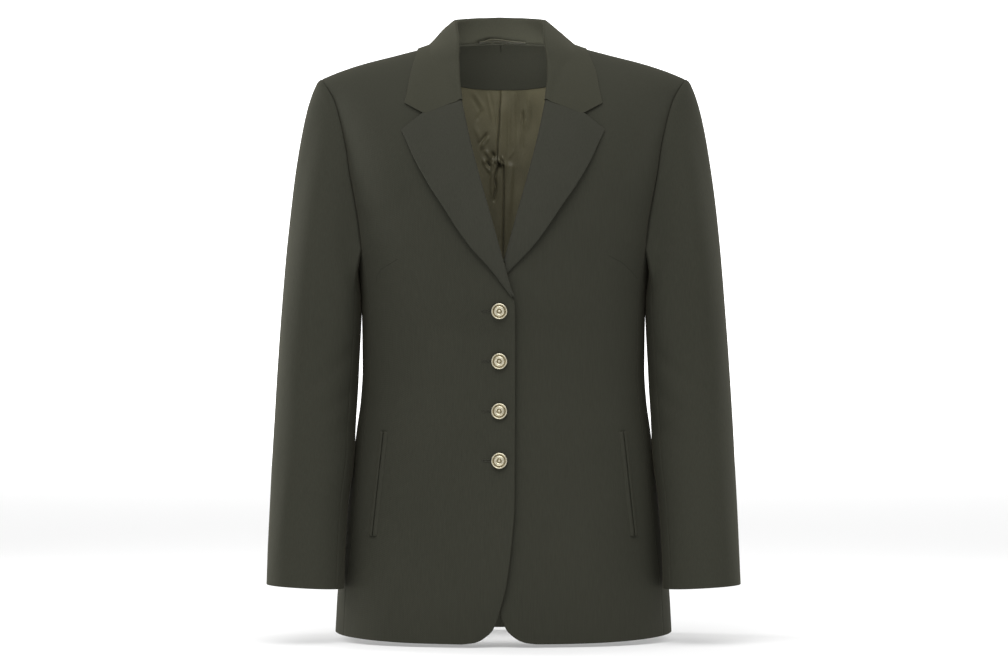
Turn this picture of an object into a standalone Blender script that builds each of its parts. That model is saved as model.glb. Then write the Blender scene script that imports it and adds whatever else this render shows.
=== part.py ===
"""A single-breasted blazer, hollow, in the form it has when worn.

Metres, +Z up. +X is the wearer's left and -Y is the front. The origin is the middle of the neck,
level with the shoulder-neck points. Every cloth piece is a wall cut from one of three forms:
rings round the body up to the underarm, front and back shells from there to the shoulder seams,
and a tube for each sleeve. Places on a front, back or sleeve are worked out for the wearer's left
and mirrored for the right. "Out" is the distance from the centre line towards the side.
"""

import math

import bpy
import bmesh
from mathutils import Vector
from mathutils.bvhtree import BVHTree

CLOTH = 0.0018          # worsted with its canvas
LINING = 0.0011
SLEEVE_CLOTH = 0.0014
SEAM_GAP = 0.0003
LEFT = 1.0
RIGHT = -1.0

# ---------------------------------------------------------------- body sizes
# Rings round the body: height, half width, depth in front, depth behind, squareness.
BODY_RINGS = (
    (-0.709, 0.2015, 0.1370, 0.1350, 2.35),
    (-0.660, 0.1990, 0.1365, 0.1350, 2.35),
    (-0.560, 0.1876, 0.1330, 0.1310, 2.35),
    (-0.463, 0.1760, 0.1275, 0.1220, 2.35),
    (-0.427, 0.1712, 0.1250, 0.1160, 2.35),
    (-0.391, 0.1690, 0.1240, 0.1120, 2.35),
    (-0.355, 0.1692, 0.1245, 0.1130, 2.35),
    (-0.300, 0.1704, 0.1285, 0.1200, 2.35),
    (-0.247, 0.1738, 0.1300, 0.1280, 2.35),
)
HEM = -0.709
UNDERARM = -0.247
FRONT_SEAM_RATIO = 0.94     # where the front meets the side panel, of the half width
BACK_SEAM_RATIO = 0.93
SIDE_HEM_RISE = 0.006
HEM_RISE_HEIGHT = 0.10

# Shoulder seam, extended to the centre: out, height.
SHOULDER_LINE = (
    (-0.030, 0.0125),
    (0.000, 0.0155),
    (0.030, 0.0125),
    (0.072, 0.0015),
    (0.124, -0.0120),
    (0.172, -0.0246),
    (0.196, -0.0326),
    (0.218, -0.0417),
)
NECK_OUT = 0.072
TIP_OUT = 0.218
SEAM_DEPTH_NECK = 0.012
SEAM_DEPTH_TIP = 0.004
FRONT_SHELL_POWER = 2.25
BACK_SHELL_POWER = 2.6
RUN_EVENNESS = 1.35         # spaces the shells' rows evenly

# Armhole seam seen from the front: height, out.
FRONT_ARMHOLE = (
    (-0.247, 0.1634),
    (-0.213, 0.1700),
    (-0.166, 0.1790),
    (-0.118, 0.1890),
    (-0.071, 0.2015),
    (-0.0417, 0.2180),
)
BACK_ARMHOLE = (
    (-0.247, 0.1616),
    (-0.213, 0.1700),
    (-0.166, 0.1810),
    (-0.118, 0.1930),
    (-0.071, 0.2060),
    (-0.0417, 0.2180),
)
BACK_NECK_DROP = 0.1445     # of the back shell's run, cut away at the centre

# ---------------------------------------------------------------- fronts, lapels and collar
# Roll line and neckline of a front: height, out. The closing edge is measured separately.
ROLL_LINE = (
    (-0.307, -0.0125),
    (-0.275, -0.0035),
    (-0.258, 0.0012),
    (-0.212, 0.0140),
    (-0.168, 0.0264),
    (-0.116, 0.0398),
    (-0.074, 0.0486),
    (-0.040, 0.0560),
    (0.0015, 0.0720),
)
BREAK = -0.307              # where the lapel starts to fold
LEFT_LAPEL_FOOT = (-0.262, -0.2735)     # fold and edge; lower it would lie under the right front
GORGE = -0.074              # where the collar meets the roll line
FOLD_MARGIN = 0.0032        # the front's cut edge lies this far inside the fold

# Closing edge: height, how far a front reaches past the closing line.
CLOSING_EDGE = (
    (-0.7090, -0.0405),
    (-0.7035, -0.0267),
    (-0.6920, -0.0130),
    (-0.6630, 0.0004),
    (-0.6390, 0.0074),
    (-0.5930, 0.0132),
    (-0.5450, 0.0167),
    (-0.3500, 0.0175),
    (-0.3070, 0.0170),
)
CLOSING_LINE = -0.0045      # x of the buttons
# The right front laps over the left one: height, how far it stands off.
LAP = (
    (-0.709, 0.0024),
    (-0.360, 0.0024),
    (-0.300, 0.0062),
    (-0.250, 0.0062),
    (-0.150, 0.0000),
    (0.020, 0.0000),
)
LAP_FADE = (-0.090, -0.028)     # x where the stand-off begins and is full

# Lapel's outer edge: height, out.
LAPEL_EDGE = (
    (-0.307, -0.0112),
    (-0.275, 0.0125),
    (-0.247, 0.0365),
    (-0.228, 0.0500),
    (-0.200, 0.0680),
    (-0.172, 0.0860),
    (-0.144, 0.1020),
    (-0.125, 0.1110),
    (-0.1074, 0.1195),
)
NOTCH_CORNER = (-0.089, 0.0936)     # height, out
LAPEL_WALL = 0.0016
LAPEL_FOLD_RADIUS = 0.0016
COLLAR_FOLD_RADIUS = 0.0022
LAPEL_LIFT = 0.0016
NOTCH_SHARE = 0.64                  # of the gorge line's run, where the notch's corner lies

# Collar, centre back to gorge: station, the fold's place from the neckline (out, depth, height),
# the outer edge's place (out, depth, height).
COLLAR_STATIONS = (
    (0.00, 0.0000, -0.0070, 0.0270, 0.0000, 0.0930, -0.0200),
    (0.25, -0.0140, -0.0030, 0.0290, 0.0560, 0.0780, -0.0200),
    (0.50, -0.0195, -0.0040, 0.0290, 0.0985, 0.0160, -0.0060),
    (0.62, -0.0115, -0.0100, 0.0125, 0.1030, -0.0300, -0.0130),
    (0.75, -0.0048, -0.0030, 0.0036, 0.1070, -0.0520, -0.0340),
    (0.88, -0.0014, -0.0006, 0.0008, 0.1110, -0.0680, -0.0550),
    (1.00, -0.0006, 0.0000, 0.0003, 0.1160, -0.0820, -0.0765),
)
COLLAR_WALL = 0.0018
SHOULDER_STATION = 0.5      # where the neckline passes the shoulder seam

# ---------------------------------------------------------------- sleeves
# Rings of a sleeve: height, outer out, inner out, front depth, back depth, inner squareness.
SLEEVE_RINGS = (
    (-0.302, 0.2642, 0.1742, -0.0685, 0.0525, 3.40),
    (-0.350, 0.2675, 0.1732, -0.0720, 0.0440, 2.90),
    (-0.400, 0.2705, 0.1738, -0.0770, 0.0345, 2.50),
    (-0.450, 0.2730, 0.1768, -0.0835, 0.0230, 2.25),
    (-0.500, 0.2752, 0.1806, -0.0915, 0.0100, 2.15),
    (-0.550, 0.2770, 0.1842, -0.1010, -0.0045, 2.15),
    (-0.600, 0.2785, 0.1868, -0.1105, -0.0205, 2.15),
    (-0.647, 0.2795, 0.1880, -0.1190, -0.0370, 2.15),
)
OUTER_SQUARENESS = 2.15
BICEP = -0.302
CUFF = -0.647
CUFF_OUTER_RISE = 0.005
CAP_HANDLE = 0.026
CAP_LOWER_HANDLE = 0.100
ARMHOLE_CLEARANCE = 0.0009  # between the under sleeve's start and the side panel

# ---------------------------------------------------------------- small pieces
POCKET_TOP = (-0.463, 0.1405)       # height, out
POCKET_FOOT = (-0.585, 0.1535)
WELT_WIDTH = 0.0052
WELT_WALL = 0.0014
BUTTON_HEIGHTS = (-0.3210, -0.3794, -0.4378, -0.4954)
BUTTON_RADIUS = 0.0095
FACING_FOOT = -0.0457
LINING_FOOT = -0.682
LINING_EDGE_SHARE = 0.955
LOOP_HALF = 0.0285

MATERIALS = {
    "worsted": ((0.045, 0.045, 0.034), 0.82, 0.0),
    "collar_cloth": ((0.050, 0.050, 0.037), 0.80, 0.0),
    "satin": ((0.075, 0.068, 0.036), 0.45, 0.0),
    "pale_gold": ((0.62, 0.56, 0.40), 0.35, 0.9),
}


# ---------------------------------------------------------------- curves through the tables
def smooth_step(value, low, high):
    share = min(max((value - low) / (high - low), 0.0), 1.0)
    return share * share * (3.0 - 2.0 * share)


def read(table, at, column=1):
    """The value of a column at a place in the first column, on a smooth curve through the rows."""
    rows = table if table[0][0] < table[-1][0] else table[::-1]
    at = min(max(at, rows[0][0]), rows[-1][0])
    last = len(rows) - 2
    i = next((k for k in range(last) if at <= rows[k + 1][0]), last)
    x0, y0 = rows[i][0], rows[i][column]
    x1, y1 = rows[i + 1][0], rows[i + 1][column]
    slope = (y1 - y0) / (x1 - x0)

    def tangent(k):
        if k <= 0 or k >= len(rows) - 1:
            return None
        before = (rows[k][column] - rows[k - 1][column]) / (rows[k][0] - rows[k - 1][0])
        after = (rows[k + 1][column] - rows[k][column]) / (rows[k + 1][0] - rows[k][0])
        if before * after <= 0:
            return 0.0
        return 2.0 * before * after / (before + after)

    start = tangent(i)
    end = tangent(i + 1)
    start = slope if start is None else start
    end = slope if end is None else end
    width = x1 - x0
    u = (at - x0) / width
    return ((1 + 2 * u) * (1 - u) ** 2 * y0 + u * (1 - u) ** 2 * width * start
            + u * u * (3 - 2 * u) * y1 + u * u * (u - 1) * width * end)


def spread(first, last, count):
    return [first + (last - first) * k / (count - 1) for k in range(count)]


# ---------------------------------------------------------------- the body's form
def ring_depth(out, height, front):
    """Distance of the body's surface from the middle plane, in front or behind."""
    half = read(BODY_RINGS, height, 1)
    depth = read(BODY_RINGS, height, 2 if front else 3)
    power = read(BODY_RINGS, height, 4)
    inside = max(1.0 - abs(out / half) ** power, 0.0)
    return depth * inside ** (1.0 / power)


def hem_lift(out, height):
    half = read(BODY_RINGS, height, 1)
    low = smooth_step(height, HEM + HEM_RISE_HEIGHT, HEM)
    return SIDE_HEM_RISE * min(abs(out / half), 1.0) ** 4 * low


def lower_point(out, height, front):
    depth = ring_depth(out, height, front)
    return Vector((out, -depth if front else depth, height + hem_lift(out, height)))


def side_point(turn, height):
    """turn is the angle round the ring from the side, towards the back when positive."""
    half = read(BODY_RINGS, height, 1)
    depth = read(BODY_RINGS, height, 3 if turn > 0 else 2)
    power = 2.0 / read(BODY_RINGS, height, 4)
    out = half * math.cos(turn) ** power
    y = math.copysign(depth * abs(math.sin(turn)) ** power, turn)
    return Vector((out, y, height + hem_lift(out, height)))


def seam_turn(ratio, height):
    return math.acos(ratio ** (read(BODY_RINGS, height, 4) / 2.0))


def shell_rise(run, front):
    """How far up and how far in a shell has gone at a share of its run, as a rounded quarter."""
    power = 2.0 / (FRONT_SHELL_POWER if front else BACK_SHELL_POWER)
    angle = min(max(run, 0.0), 1.0) ** RUN_EVENNESS * math.pi / 2.0
    return math.sin(angle) ** power, max(math.cos(angle), 0.0) ** power


def upper_point(share, run, front):
    """The front or back shell: share from the centre to the armhole, run from underarm to seam."""
    rise, stay = shell_rise(run, front)
    tip_height = read(SHOULDER_LINE, TIP_OUT)
    edge_height = UNDERARM + (tip_height - UNDERARM) * rise
    out = share * read(FRONT_ARMHOLE if front else BACK_ARMHOLE, edge_height)
    seam_out = abs(share) * TIP_OUT
    seam_height = read(SHOULDER_LINE, seam_out)
    toward_tip = smooth_step(seam_out, NECK_OUT, TIP_OUT)
    seam_depth = SEAM_DEPTH_NECK + (SEAM_DEPTH_TIP - SEAM_DEPTH_NECK) * toward_tip
    ratio = FRONT_SEAM_RATIO if front else BACK_SEAM_RATIO
    foot_out = share * ratio * read(BODY_RINGS, UNDERARM, 1)
    foot = ring_depth(foot_out, UNDERARM, front)
    foot_depth = -foot if front else foot
    height = UNDERARM + (seam_height - UNDERARM) * rise
    return Vector((out, seam_depth + (foot_depth - seam_depth) * stay, height))


def lap_offset(x, height):
    return read(LAP, height) * smooth_step(x, *LAP_FADE)


def normal_of(surface, u, v, step_u=0.002, step_v=0.002):
    """The outward normal of surface(u, v) by small steps; u runs out, v runs up, on a front."""
    along = surface(u + step_u, v) - surface(u - step_u, v)
    up = surface(u, v + step_v) - surface(u, v - step_v)
    return along.cross(up).normalized()


# ---------------------------------------------------------------- walls
def mirrored(point, side):
    return Vector((point.x * side, point.y, point.z))


def shrink(outer, inner, first_row, last_row, first_col, last_col):
    """Draws the named edges of a panel back by half a seam gap."""
    half = SEAM_GAP / 2.0 + 0.00002

    def pull(edge, inward):
        for (r, c), (r2, c2) in zip(edge, inward):
            move = (outer[r2][c2] - outer[r][c]).normalized() * half
            outer[r][c] = outer[r][c] + move
            inner[r][c] = inner[r][c] + move

    rows, cols = len(outer), len(outer[0])
    if first_row:
        pull([(0, c) for c in range(cols)], [(1, c) for c in range(cols)])
    if last_row:
        pull([(rows - 1, c) for c in range(cols)], [(rows - 2, c) for c in range(cols)])
    if first_col:
        pull([(r, 0) for r in range(rows)], [(r, 1) for r in range(rows)])
    if last_col:
        pull([(r, cols - 1) for r in range(rows)], [(r, cols - 2) for r in range(rows)])


def build_wall(name, material, outer, inner, side=LEFT):
    """One closed wall between two grids of points; the outer grid's normal is columns x rows."""
    mesh = bpy.data.meshes.new(name)
    bm = bmesh.new()
    rows, cols = len(outer), len(outer[0])
    skins = [[[bm.verts.new(mirrored(p, side)) for p in row] for row in grid]
             for grid in (outer, inner)]

    def face(*corners):
        bm.faces.new(corners if side == LEFT else corners[:1] + corners[:0:-1])

    top, under = skins
    for r in range(rows - 1):
        for c in range(cols - 1):
            face(top[r][c], top[r][c + 1], top[r + 1][c + 1], top[r + 1][c])
            face(under[r][c], under[r + 1][c], under[r + 1][c + 1], under[r][c + 1])
    for c in range(cols - 1):
        face(top[0][c + 1], top[0][c], under[0][c], under[0][c + 1])
        face(top[-1][c], top[-1][c + 1], under[-1][c + 1], under[-1][c])
    for r in range(rows - 1):
        face(top[r][0], top[r + 1][0], under[r + 1][0], under[r][0])
        face(top[r + 1][-1], top[r][-1], under[r][-1], under[r + 1][-1])
    bm.to_mesh(mesh)
    bm.free()
    return add_object(name, mesh, material)


def add_object(name, mesh, material):
    item = bpy.data.objects.new(name, mesh)
    bpy.data.collections["single_breasted_blazer"].objects.link(item)
    mesh.materials.append(bpy.data.materials[material])
    mesh.shade_smooth()
    mesh.set_sharp_from_angle(angle=math.radians(50.0))
    return item


def turned_normal(before, here, after, below, above):
    """The normal at a point from its four neighbours, however far off each of them is."""
    across = (after - here).normalized() + (here - before).normalized()
    up = (above - here).normalized() + (here - below).normalized()
    return across.cross(up).normalized()


def grid_normals(grid):
    """Normals of a free grid of centre points, from the neighbours of each point."""
    rows, cols = len(grid), len(grid[0])
    return [[turned_normal(grid[r][max(c - 1, 0)], grid[r][c], grid[r][min(c + 1, cols - 1)],
                           grid[max(r - 1, 0)][c], grid[min(r + 1, rows - 1)][c])
             for c in range(cols)] for r in range(rows)]


def build_sheet(name, material, centre, thickness, side=LEFT):
    """A wall of even thickness round a grid of centre points."""
    normals = grid_normals(centre)
    outer = [[p + n * thickness / 2 for p, n in zip(*pair)] for pair in zip(centre, normals)]
    inner = [[p - n * thickness / 2 for p, n in zip(*pair)] for pair in zip(centre, normals)]
    return build_wall(name, material, outer, inner, side)


# ---------------------------------------------------------------- fronts
LOWER_ROWS = (-0.7090, -0.7065, -0.7035, -0.6990, -0.6920, -0.6800, -0.6600, -0.6300, -0.5900,
              -0.5480, -0.5060, -0.4640, -0.4260, -0.3910, -0.3560, -0.3250, -0.3070, -0.2900,
              -0.2690)
UPPER_RUNS = 11
CORNER_ROWS = (-0.7065, -0.7035, -0.6990, -0.6800)    # only the fronts need them
FRONT_COLUMNS = 12
BACK_COLUMNS = 9
SIDE_HALF_COLUMNS = 3


def edge_out(height, side):
    """Where a front's free or folded edge lies, out from the centre on its own side."""
    closing = CLOSING_LINE * side - read(CLOSING_EDGE, height)
    fold = read(ROLL_LINE, height) + FOLD_MARGIN * smooth_step(height, 0.0, GORGE)
    return closing + (fold - closing) * smooth_step(height, -0.345, BREAK + 0.012)


def front_surface(side):
    """Returns the outer surface of a front as a function of share across and level up."""
    def lower(share, height):
        half = FRONT_SEAM_RATIO * read(BODY_RINGS, height, 1)
        start = edge_out(height, side)
        return lower_point(start + (half - start) * share, height, True)

    def upper(share, run):
        start = 0.0
        for _ in range(6):
            at = upper_point(start, run, True)
            full = upper_point(1.0, run, True).x
            start = edge_out(at.z, side) / full
        return upper_point(start + (1.0 - start) * share, run, True)

    def lifted(point):
        if side == RIGHT:
            point.y -= lap_offset(-point.x, point.z)
        return point

    def surface(share, level):
        """level is a height up to the underarm, and 1 + run above it."""
        if level < 0.0:
            return lifted(lower(share, level))
        return lifted(upper(share, level - 1.0))

    return surface


def upper_levels():
    return [1.0 + run for run in spread(0.0, 1.0, UPPER_RUNS)]


def plain_heights():
    """The lower rows of the panels whose hem has no rounded corner."""
    return [height for height in LOWER_ROWS if height not in CORNER_ROWS]


def front_normal(surface, share, level):
    if level >= 1.0:
        level = min(max(level, 1.004), 1.996)
        return normal_of(surface, min(max(share, 0.01), 0.99), level, 0.01, 0.004)
    return normal_of(surface, min(max(share, 0.01), 0.99), min(level, UNDERARM - 0.002), 0.01)


def make_front(name, side):
    surface = front_surface(side)
    outer = []
    inner = []
    for level in list(LOWER_ROWS) + upper_levels():
        shares = spread(0.0, 1.0, FRONT_COLUMNS)
        points = [surface(share, level) for share in shares]
        normals = [front_normal(surface, share, level) for share in shares]
        outer.append(points)
        inner.append([p - n * CLOTH for p, n in zip(points, normals)])
    shrink(outer, inner, False, True, False, True)
    build_wall(name, "worsted", outer, inner, side)


# ---------------------------------------------------------------- back and side panels
def neckline_run(out):
    """The run of the back shell at which the neckline cuts it, out from the centre."""
    inside = max(1.0 - (min(out, NECK_OUT) / NECK_OUT) ** 2, 0.0)
    return 1.0 - BACK_NECK_DROP * inside ** 0.6


def back_surface(share, level):
    if level < 0.0:
        half = BACK_SEAM_RATIO * read(BODY_RINGS, level, 1)
        return lower_point(share * half, level, False)
    top = 1.0
    for _ in range(6):
        top = neckline_run(abs(upper_point(share, top, False).x))
    return upper_point(share, (level - 1.0) * top, False)


def back_normal(share, level):
    if level >= 1.0:
        level = min(max(level, 1.004), 1.996)
    else:
        level = min(level, UNDERARM - 0.002)
    at = min(share, 0.99)
    step = 0.01 if level >= 1.0 else 0.002
    along = back_surface(at + 0.01, level) - back_surface(at - 0.01, level)
    up = back_surface(at, level + step) - back_surface(at, level - step)
    return up.cross(along).normalized()


def make_back(name, side):
    outer = []
    inner = []
    for level in plain_heights() + upper_levels():
        shares = spread(1.0, 0.0, BACK_COLUMNS)
        points = [back_surface(share, level) for share in shares]
        outer.append(points)
        inner.append([p - back_normal(s, level) * CLOTH for p, s in zip(points, shares)])
    shrink(outer, inner, False, True, True, True)
    build_wall(name, "worsted", outer, inner, side)


def make_side(name, side):
    outer = []
    inner = []
    for height in plain_heights() + [UNDERARM]:
        turns = spread(-seam_turn(FRONT_SEAM_RATIO, height), 0.0, SIDE_HALF_COLUMNS + 1)
        turns += spread(0.0, seam_turn(BACK_SEAM_RATIO, height), SIDE_HALF_COLUMNS + 1)[1:]
        points = [side_point(turn, height) for turn in turns]
        normals = [normal_of(side_point, turn, min(height, UNDERARM - 0.002), 0.01)
                   for turn in turns]
        outer.append(points)
        inner.append([p - n * CLOTH for p, n in zip(points, normals)])
    shrink(outer, inner, False, False, True, True)
    build_wall(name, "worsted", outer, inner, side)


# ---------------------------------------------------------------- sleeves
ARMHOLE_STEPS = 61      # a multiple of the rows and of the side panel's half columns, and one


def measure_armhole(front):
    """The seam from the shoulder tip to the middle of the side panel: points, and the angle of
    each as its share of the length, from 0 at the tip to 180 degrees."""
    points = [upper_point(1.0, run, front) for run in spread(1.0, 0.0, ARMHOLE_STEPS)]
    ratio = FRONT_SEAM_RATIO if front else BACK_SEAM_RATIO
    corner = seam_turn(ratio, UNDERARM) * (-1.0 if front else 1.0)
    points += [side_point(turn, UNDERARM) for turn in spread(corner, 0.0, ARMHOLE_STEPS)][1:]
    lengths = [0.0]
    for before, after in zip(points, points[1:]):
        lengths.append(lengths[-1] + (after - before).length)
    angles = [180.0 * length / lengths[-1] for length in lengths]
    return points, angles


ARMHOLES = {front: measure_armhole(front) for front in (True, False)}


def armhole_angle(front, step):
    angle = ARMHOLES[front][1][step]
    return angle if front else -angle


def armhole_point(angle):
    """The armhole seam, by degrees from the shoulder tip through the front."""
    angle = (angle + 180.0) % 360.0 - 180.0
    points, angles = ARMHOLES[angle >= 0.0]
    at = abs(angle)
    k = next((k for k in range(len(angles) - 2) if at <= angles[k + 1]), len(angles) - 2)
    return points[k].lerp(points[k + 1], (at - angles[k]) / (angles[k + 1] - angles[k]))


def sleeve_columns(under):
    """Angles of a sleeve piece's columns, at the same points as the body panels' edges."""
    if under:
        steps = [ARMHOLE_STEPS - 1 + k * (ARMHOLE_STEPS - 1) // SIDE_HALF_COLUMNS
                 for k in range(SIDE_HALF_COLUMNS + 1)]
        front = [armhole_angle(True, step) for step in steps]
        back = [360.0 + armhole_angle(False, step) for step in steps]
        return front[:-1] + back[::-1]
    steps = [k * (ARMHOLE_STEPS - 1) // (UPPER_RUNS - 1) for k in range(UPPER_RUNS)]
    front = [armhole_angle(True, step) for step in steps]
    back = [armhole_angle(False, step) for step in steps]
    return back[:0:-1] + front


def sleeve_ring_point(angle, height):
    outer, inner, front, back = (read(SLEEVE_RINGS, height, k) for k in (1, 2, 3, 4))
    turn = math.radians(angle)
    power = 2.0 / (read(SLEEVE_RINGS, height, 5) if math.cos(turn) < 0 else OUTER_SQUARENESS)
    across = math.copysign(abs(math.cos(turn)) ** power, math.cos(turn))
    deep = math.copysign(abs(math.sin(turn)) ** power, math.sin(turn))
    out = (outer + inner) / 2 + (outer - inner) / 2 * across
    depth = (front + back) / 2 - (back - front) / 2 * deep
    rise = CUFF_OUTER_RISE * (across + 1) / 2 * smooth_step(height, CUFF + 0.08, CUFF)
    return Vector((out, depth, height + rise))


def sleeve_point(angle, level):
    """level is a height below the bicep ring, and 1 - run above it, to the armhole at 1."""
    if level < 0.0:
        return sleeve_ring_point(angle, level)
    start = armhole_point(angle)
    end = sleeve_ring_point(angle, BICEP)
    from_bottom = angle % 360.0 - 180.0
    outward = smooth_step(abs(from_bottom), 0.0, 100.0)
    leave = Vector((0.05 + 0.90 * outward, 0.0, -1.0 + 0.60 * outward)).normalized()
    beside = smooth_step(abs(from_bottom), 75.0, 40.0)
    around = math.radians(max(min(from_bottom * 1.4, 70.0), -70.0))
    away = Vector((math.cos(around), math.sin(around), 0.0))
    start = start + leave * (SEAM_GAP * 2.0) + away * (ARMHOLE_CLEARANCE * beside)
    length = (end - start).length
    first = start + leave * min(CAP_HANDLE, 0.33 * length)
    lower = sleeve_ring_point(angle, BICEP - 0.01)
    last = end + (end - lower).normalized() * min(CAP_LOWER_HANDLE, 0.33 * length)
    u = 1.0 - level
    return (start * (1 - u) ** 3 + first * 3 * u * (1 - u) ** 2
            + last * 3 * u * u * (1 - u) + end * u ** 3)


SLEEVE_HEIGHTS = (-0.647, -0.600, -0.550, -0.500, -0.450, -0.400, -0.350)
CAP_LEVELS = (0.0, 0.16, 0.32, 0.48, 0.63, 0.77, 0.90, 1.0)


def sleeve_grids():
    """Outer and inner points of a whole sleeve, every column from the back corner round."""
    angles = sleeve_columns(False) + sleeve_columns(True)[1:-1]
    outer = [[sleeve_point(angle, level) for angle in angles]
             for level in SLEEVE_HEIGHTS + CAP_LEVELS]
    inner = []
    for r, row in enumerate(outer):
        above = outer[min(r + 1, len(outer) - 1)]
        below = outer[max(r - 1, 0)]
        line = []
        for c, point in enumerate(row):
            normal = turned_normal(row[(c + 1) % len(row)], point, row[c - 1], below[c], above[c])
            line.append(point - normal * SLEEVE_CLOTH)
        inner.append(line)
    return outer, inner, len(sleeve_columns(False))


def make_sleeve(word, side):
    outer, inner, split = sleeve_grids()
    pieces = (("top_sleeve_", 0, split), ("under_sleeve_", split - 1, len(outer[0]) + 1))
    for name, first, last in pieces:
        skins = [[(row + row[:1])[first:last][::-1] for row in grid] for grid in (outer, inner)]
        shrink(*skins, False, False, True, True)
        build_wall(name + word, "worsted", *skins, side)


# ---------------------------------------------------------------- body's skin as a guide
SKIN_ROWS = 40
SKIN_COLUMNS = 40
SKIN_FOOT = -0.36               # below the lapels' break
WELT_SKIN = (-0.62, -0.43)      # heights, below and above the pockets


def skin_tree(grids):
    """One tree of faces from grids of points, each given with whether its faces turn over."""
    points = []
    faces = []
    for grid, flip in grids:
        start = len(points)
        cols = len(grid[0])
        for row in grid:
            points.extend(row)
        for r in range(len(grid) - 1):
            for c in range(cols - 1):
                a = start + r * cols + c
                quad = (a, a + 1, a + cols + 1, a + cols)
                faces.append(quad[::-1] if flip else quad)
    return BVHTree.FromPolygons(points, faces)


def front_grid(side, levels):
    surface = front_surface(side)
    shares = spread(0.0, 1.0, SKIN_COLUMNS)
    return [[mirrored(surface(share, level), side) for share in shares] for level in levels]


def guide_skin():
    """A fine skin of both shells and the upper body, to lay the collar and lapels on."""
    grids = []
    shell_runs = spread(0.0, 1.0, SKIN_ROWS)
    levels = spread(SKIN_FOOT, UNDERARM - 0.002, SKIN_ROWS // 3) + [1.0 + r for r in shell_runs]
    shares = spread(0.0, 1.0, SKIN_ROWS)
    back = [[upper_point(share, run, False) for share in shares] for run in shell_runs[8:]]
    for side in (LEFT, RIGHT):
        grids.append((front_grid(side, levels), side == RIGHT))
        grids.append(([[mirrored(p, side) for p in row] for row in back], side == LEFT))
    return skin_tree(grids)


def lower_skin():
    """The lower fronts as a guide for the pocket welts."""
    levels = spread(*WELT_SKIN, SKIN_ROWS // 2)
    return skin_tree([(front_grid(side, levels), side == RIGHT) for side in (LEFT, RIGHT)])


def lift_off(skin, point, clearance):
    """Moves a point out until it clears the skin by at least the clearance."""
    place, normal, _, distance = skin.find_nearest(point)
    if place is None:
        return point
    height = (point - place).dot(normal)
    if height >= clearance or distance > 0.03:
        return point
    return place + (point - place) - normal * height + normal * clearance


# ---------------------------------------------------------------- lapels
LAPEL_ROWS = 13
LAST_ROW = 0.998            # of a lapel's or the collar's run, just short of the gorge
RIGHT_LAPEL_START = 0.085   # the first row above the break, where the fold has its full round
LAPEL_SPREAD = (0.10, 0.26, 0.42, 0.58, 0.74, 0.88, 1.0)
FOLD_ANGLES = (0.0, 45.0, 90.0, 135.0, 180.0)


def fold_arc(start, onward, turn, radius):
    """A half circle that starts at a place, bulges onward and comes back turned over."""
    middle = start + turn * radius
    points = []
    for degrees in FOLD_ANGLES:
        angle = math.radians(degrees)
        points.append(middle + (onward * math.sin(angle) - turn * math.cos(angle)) * radius)
    return points


def lapel_ends(share, side):
    """Roll-line place and edge place of a lapel's row: (height, out) each."""
    fold_foot, edge_foot = (BREAK, BREAK) if side == RIGHT else LEFT_LAPEL_FOOT
    roll_height = fold_foot + (GORGE - fold_foot) * share
    edge_top = LAPEL_EDGE[-1][0]
    edge_height = edge_foot + (edge_top - edge_foot) * share
    return ((roll_height, read(ROLL_LINE, roll_height)),
            (edge_height, read(LAPEL_EDGE, edge_height)))


def bent_row(start, corner, end, share, bend):
    """A place on the row from start to end, drawn towards a corner by bend."""
    straight = [a + (b - a) * share for a, b in zip(start, end)]
    if share < NOTCH_SHARE:
        bent = [a + (b - a) * share / NOTCH_SHARE for a, b in zip(start, corner)]
    else:
        past = (share - NOTCH_SHARE) / (1.0 - NOTCH_SHARE)
        bent = [a + (b - a) * past for a, b in zip(corner, end)]
    return [a + (b - a) * bend for a, b in zip(straight, bent)]


def front_depth(surface_skin, out, height, side):
    """The front's outer surface under a place seen from the front, carried on past its edge."""
    for step in range(16):
        beyond = 0.0012 * step
        start = Vector(((out + beyond) * side, -0.5, height))
        place, normal, _, _ = surface_skin.ray_cast(start, Vector((0.0, 1.0, 0.0)))
        if place is not None:
            return place - Vector((beyond * side, 0.0, 0.0)), normal
    raise ValueError("no cloth under this place")


def lapel_row(skin, share, side):
    """Centre points of a lapel's row: along the front's cut edge, round the fold, to its edge."""
    roll, edge = lapel_ends(share, side)
    bend = (share / LAST_ROW) ** 8
    cut = edge_out(roll[0], side)
    place, normal = front_depth(skin, cut + 0.0005, roll[0], side)
    place.x = cut * side
    inward = Vector((-side, 0.0, 0.0))
    foot = place - normal * (CLOTH / 2) + inward * (SEAM_GAP + 0.0001)
    row = [foot] + fold_arc(foot + inward * 0.0004, inward, normal, LAPEL_FOLD_RADIUS)
    width = edge[1] - roll[1]
    first = (FOLD_MARGIN + 0.0006) / width
    for part in LAPEL_SPREAD:
        at = first + (1.0 - first) * part
        height, out = bent_row(roll, NOTCH_CORNER, edge, at, bend)
        height -= bend * SEAM_GAP
        place, normal = front_depth(skin, out, height, side)
        lift = 0.0015 + LAPEL_LIFT * math.sin(math.pi * min(at * 1.02, 1.0)) ** 0.7
        row.append(place + normal * lift)
    return row


def make_lapel(name, side, skin):
    shares = spread(RIGHT_LAPEL_START if side == RIGHT else 0.0, LAST_ROW, LAPEL_ROWS)
    rows = [lapel_row(skin, share, side) for share in shares]
    local = [[mirrored(p, side) for p in row] for row in rows]
    build_sheet(name, "collar_cloth", local, LAPEL_WALL, side)


# ---------------------------------------------------------------- collar
COLLAR_HALF_STATIONS = 15
FALL_SHARES = (0.16, 0.34, 0.52, 0.70, 0.86, 1.0)


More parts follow.
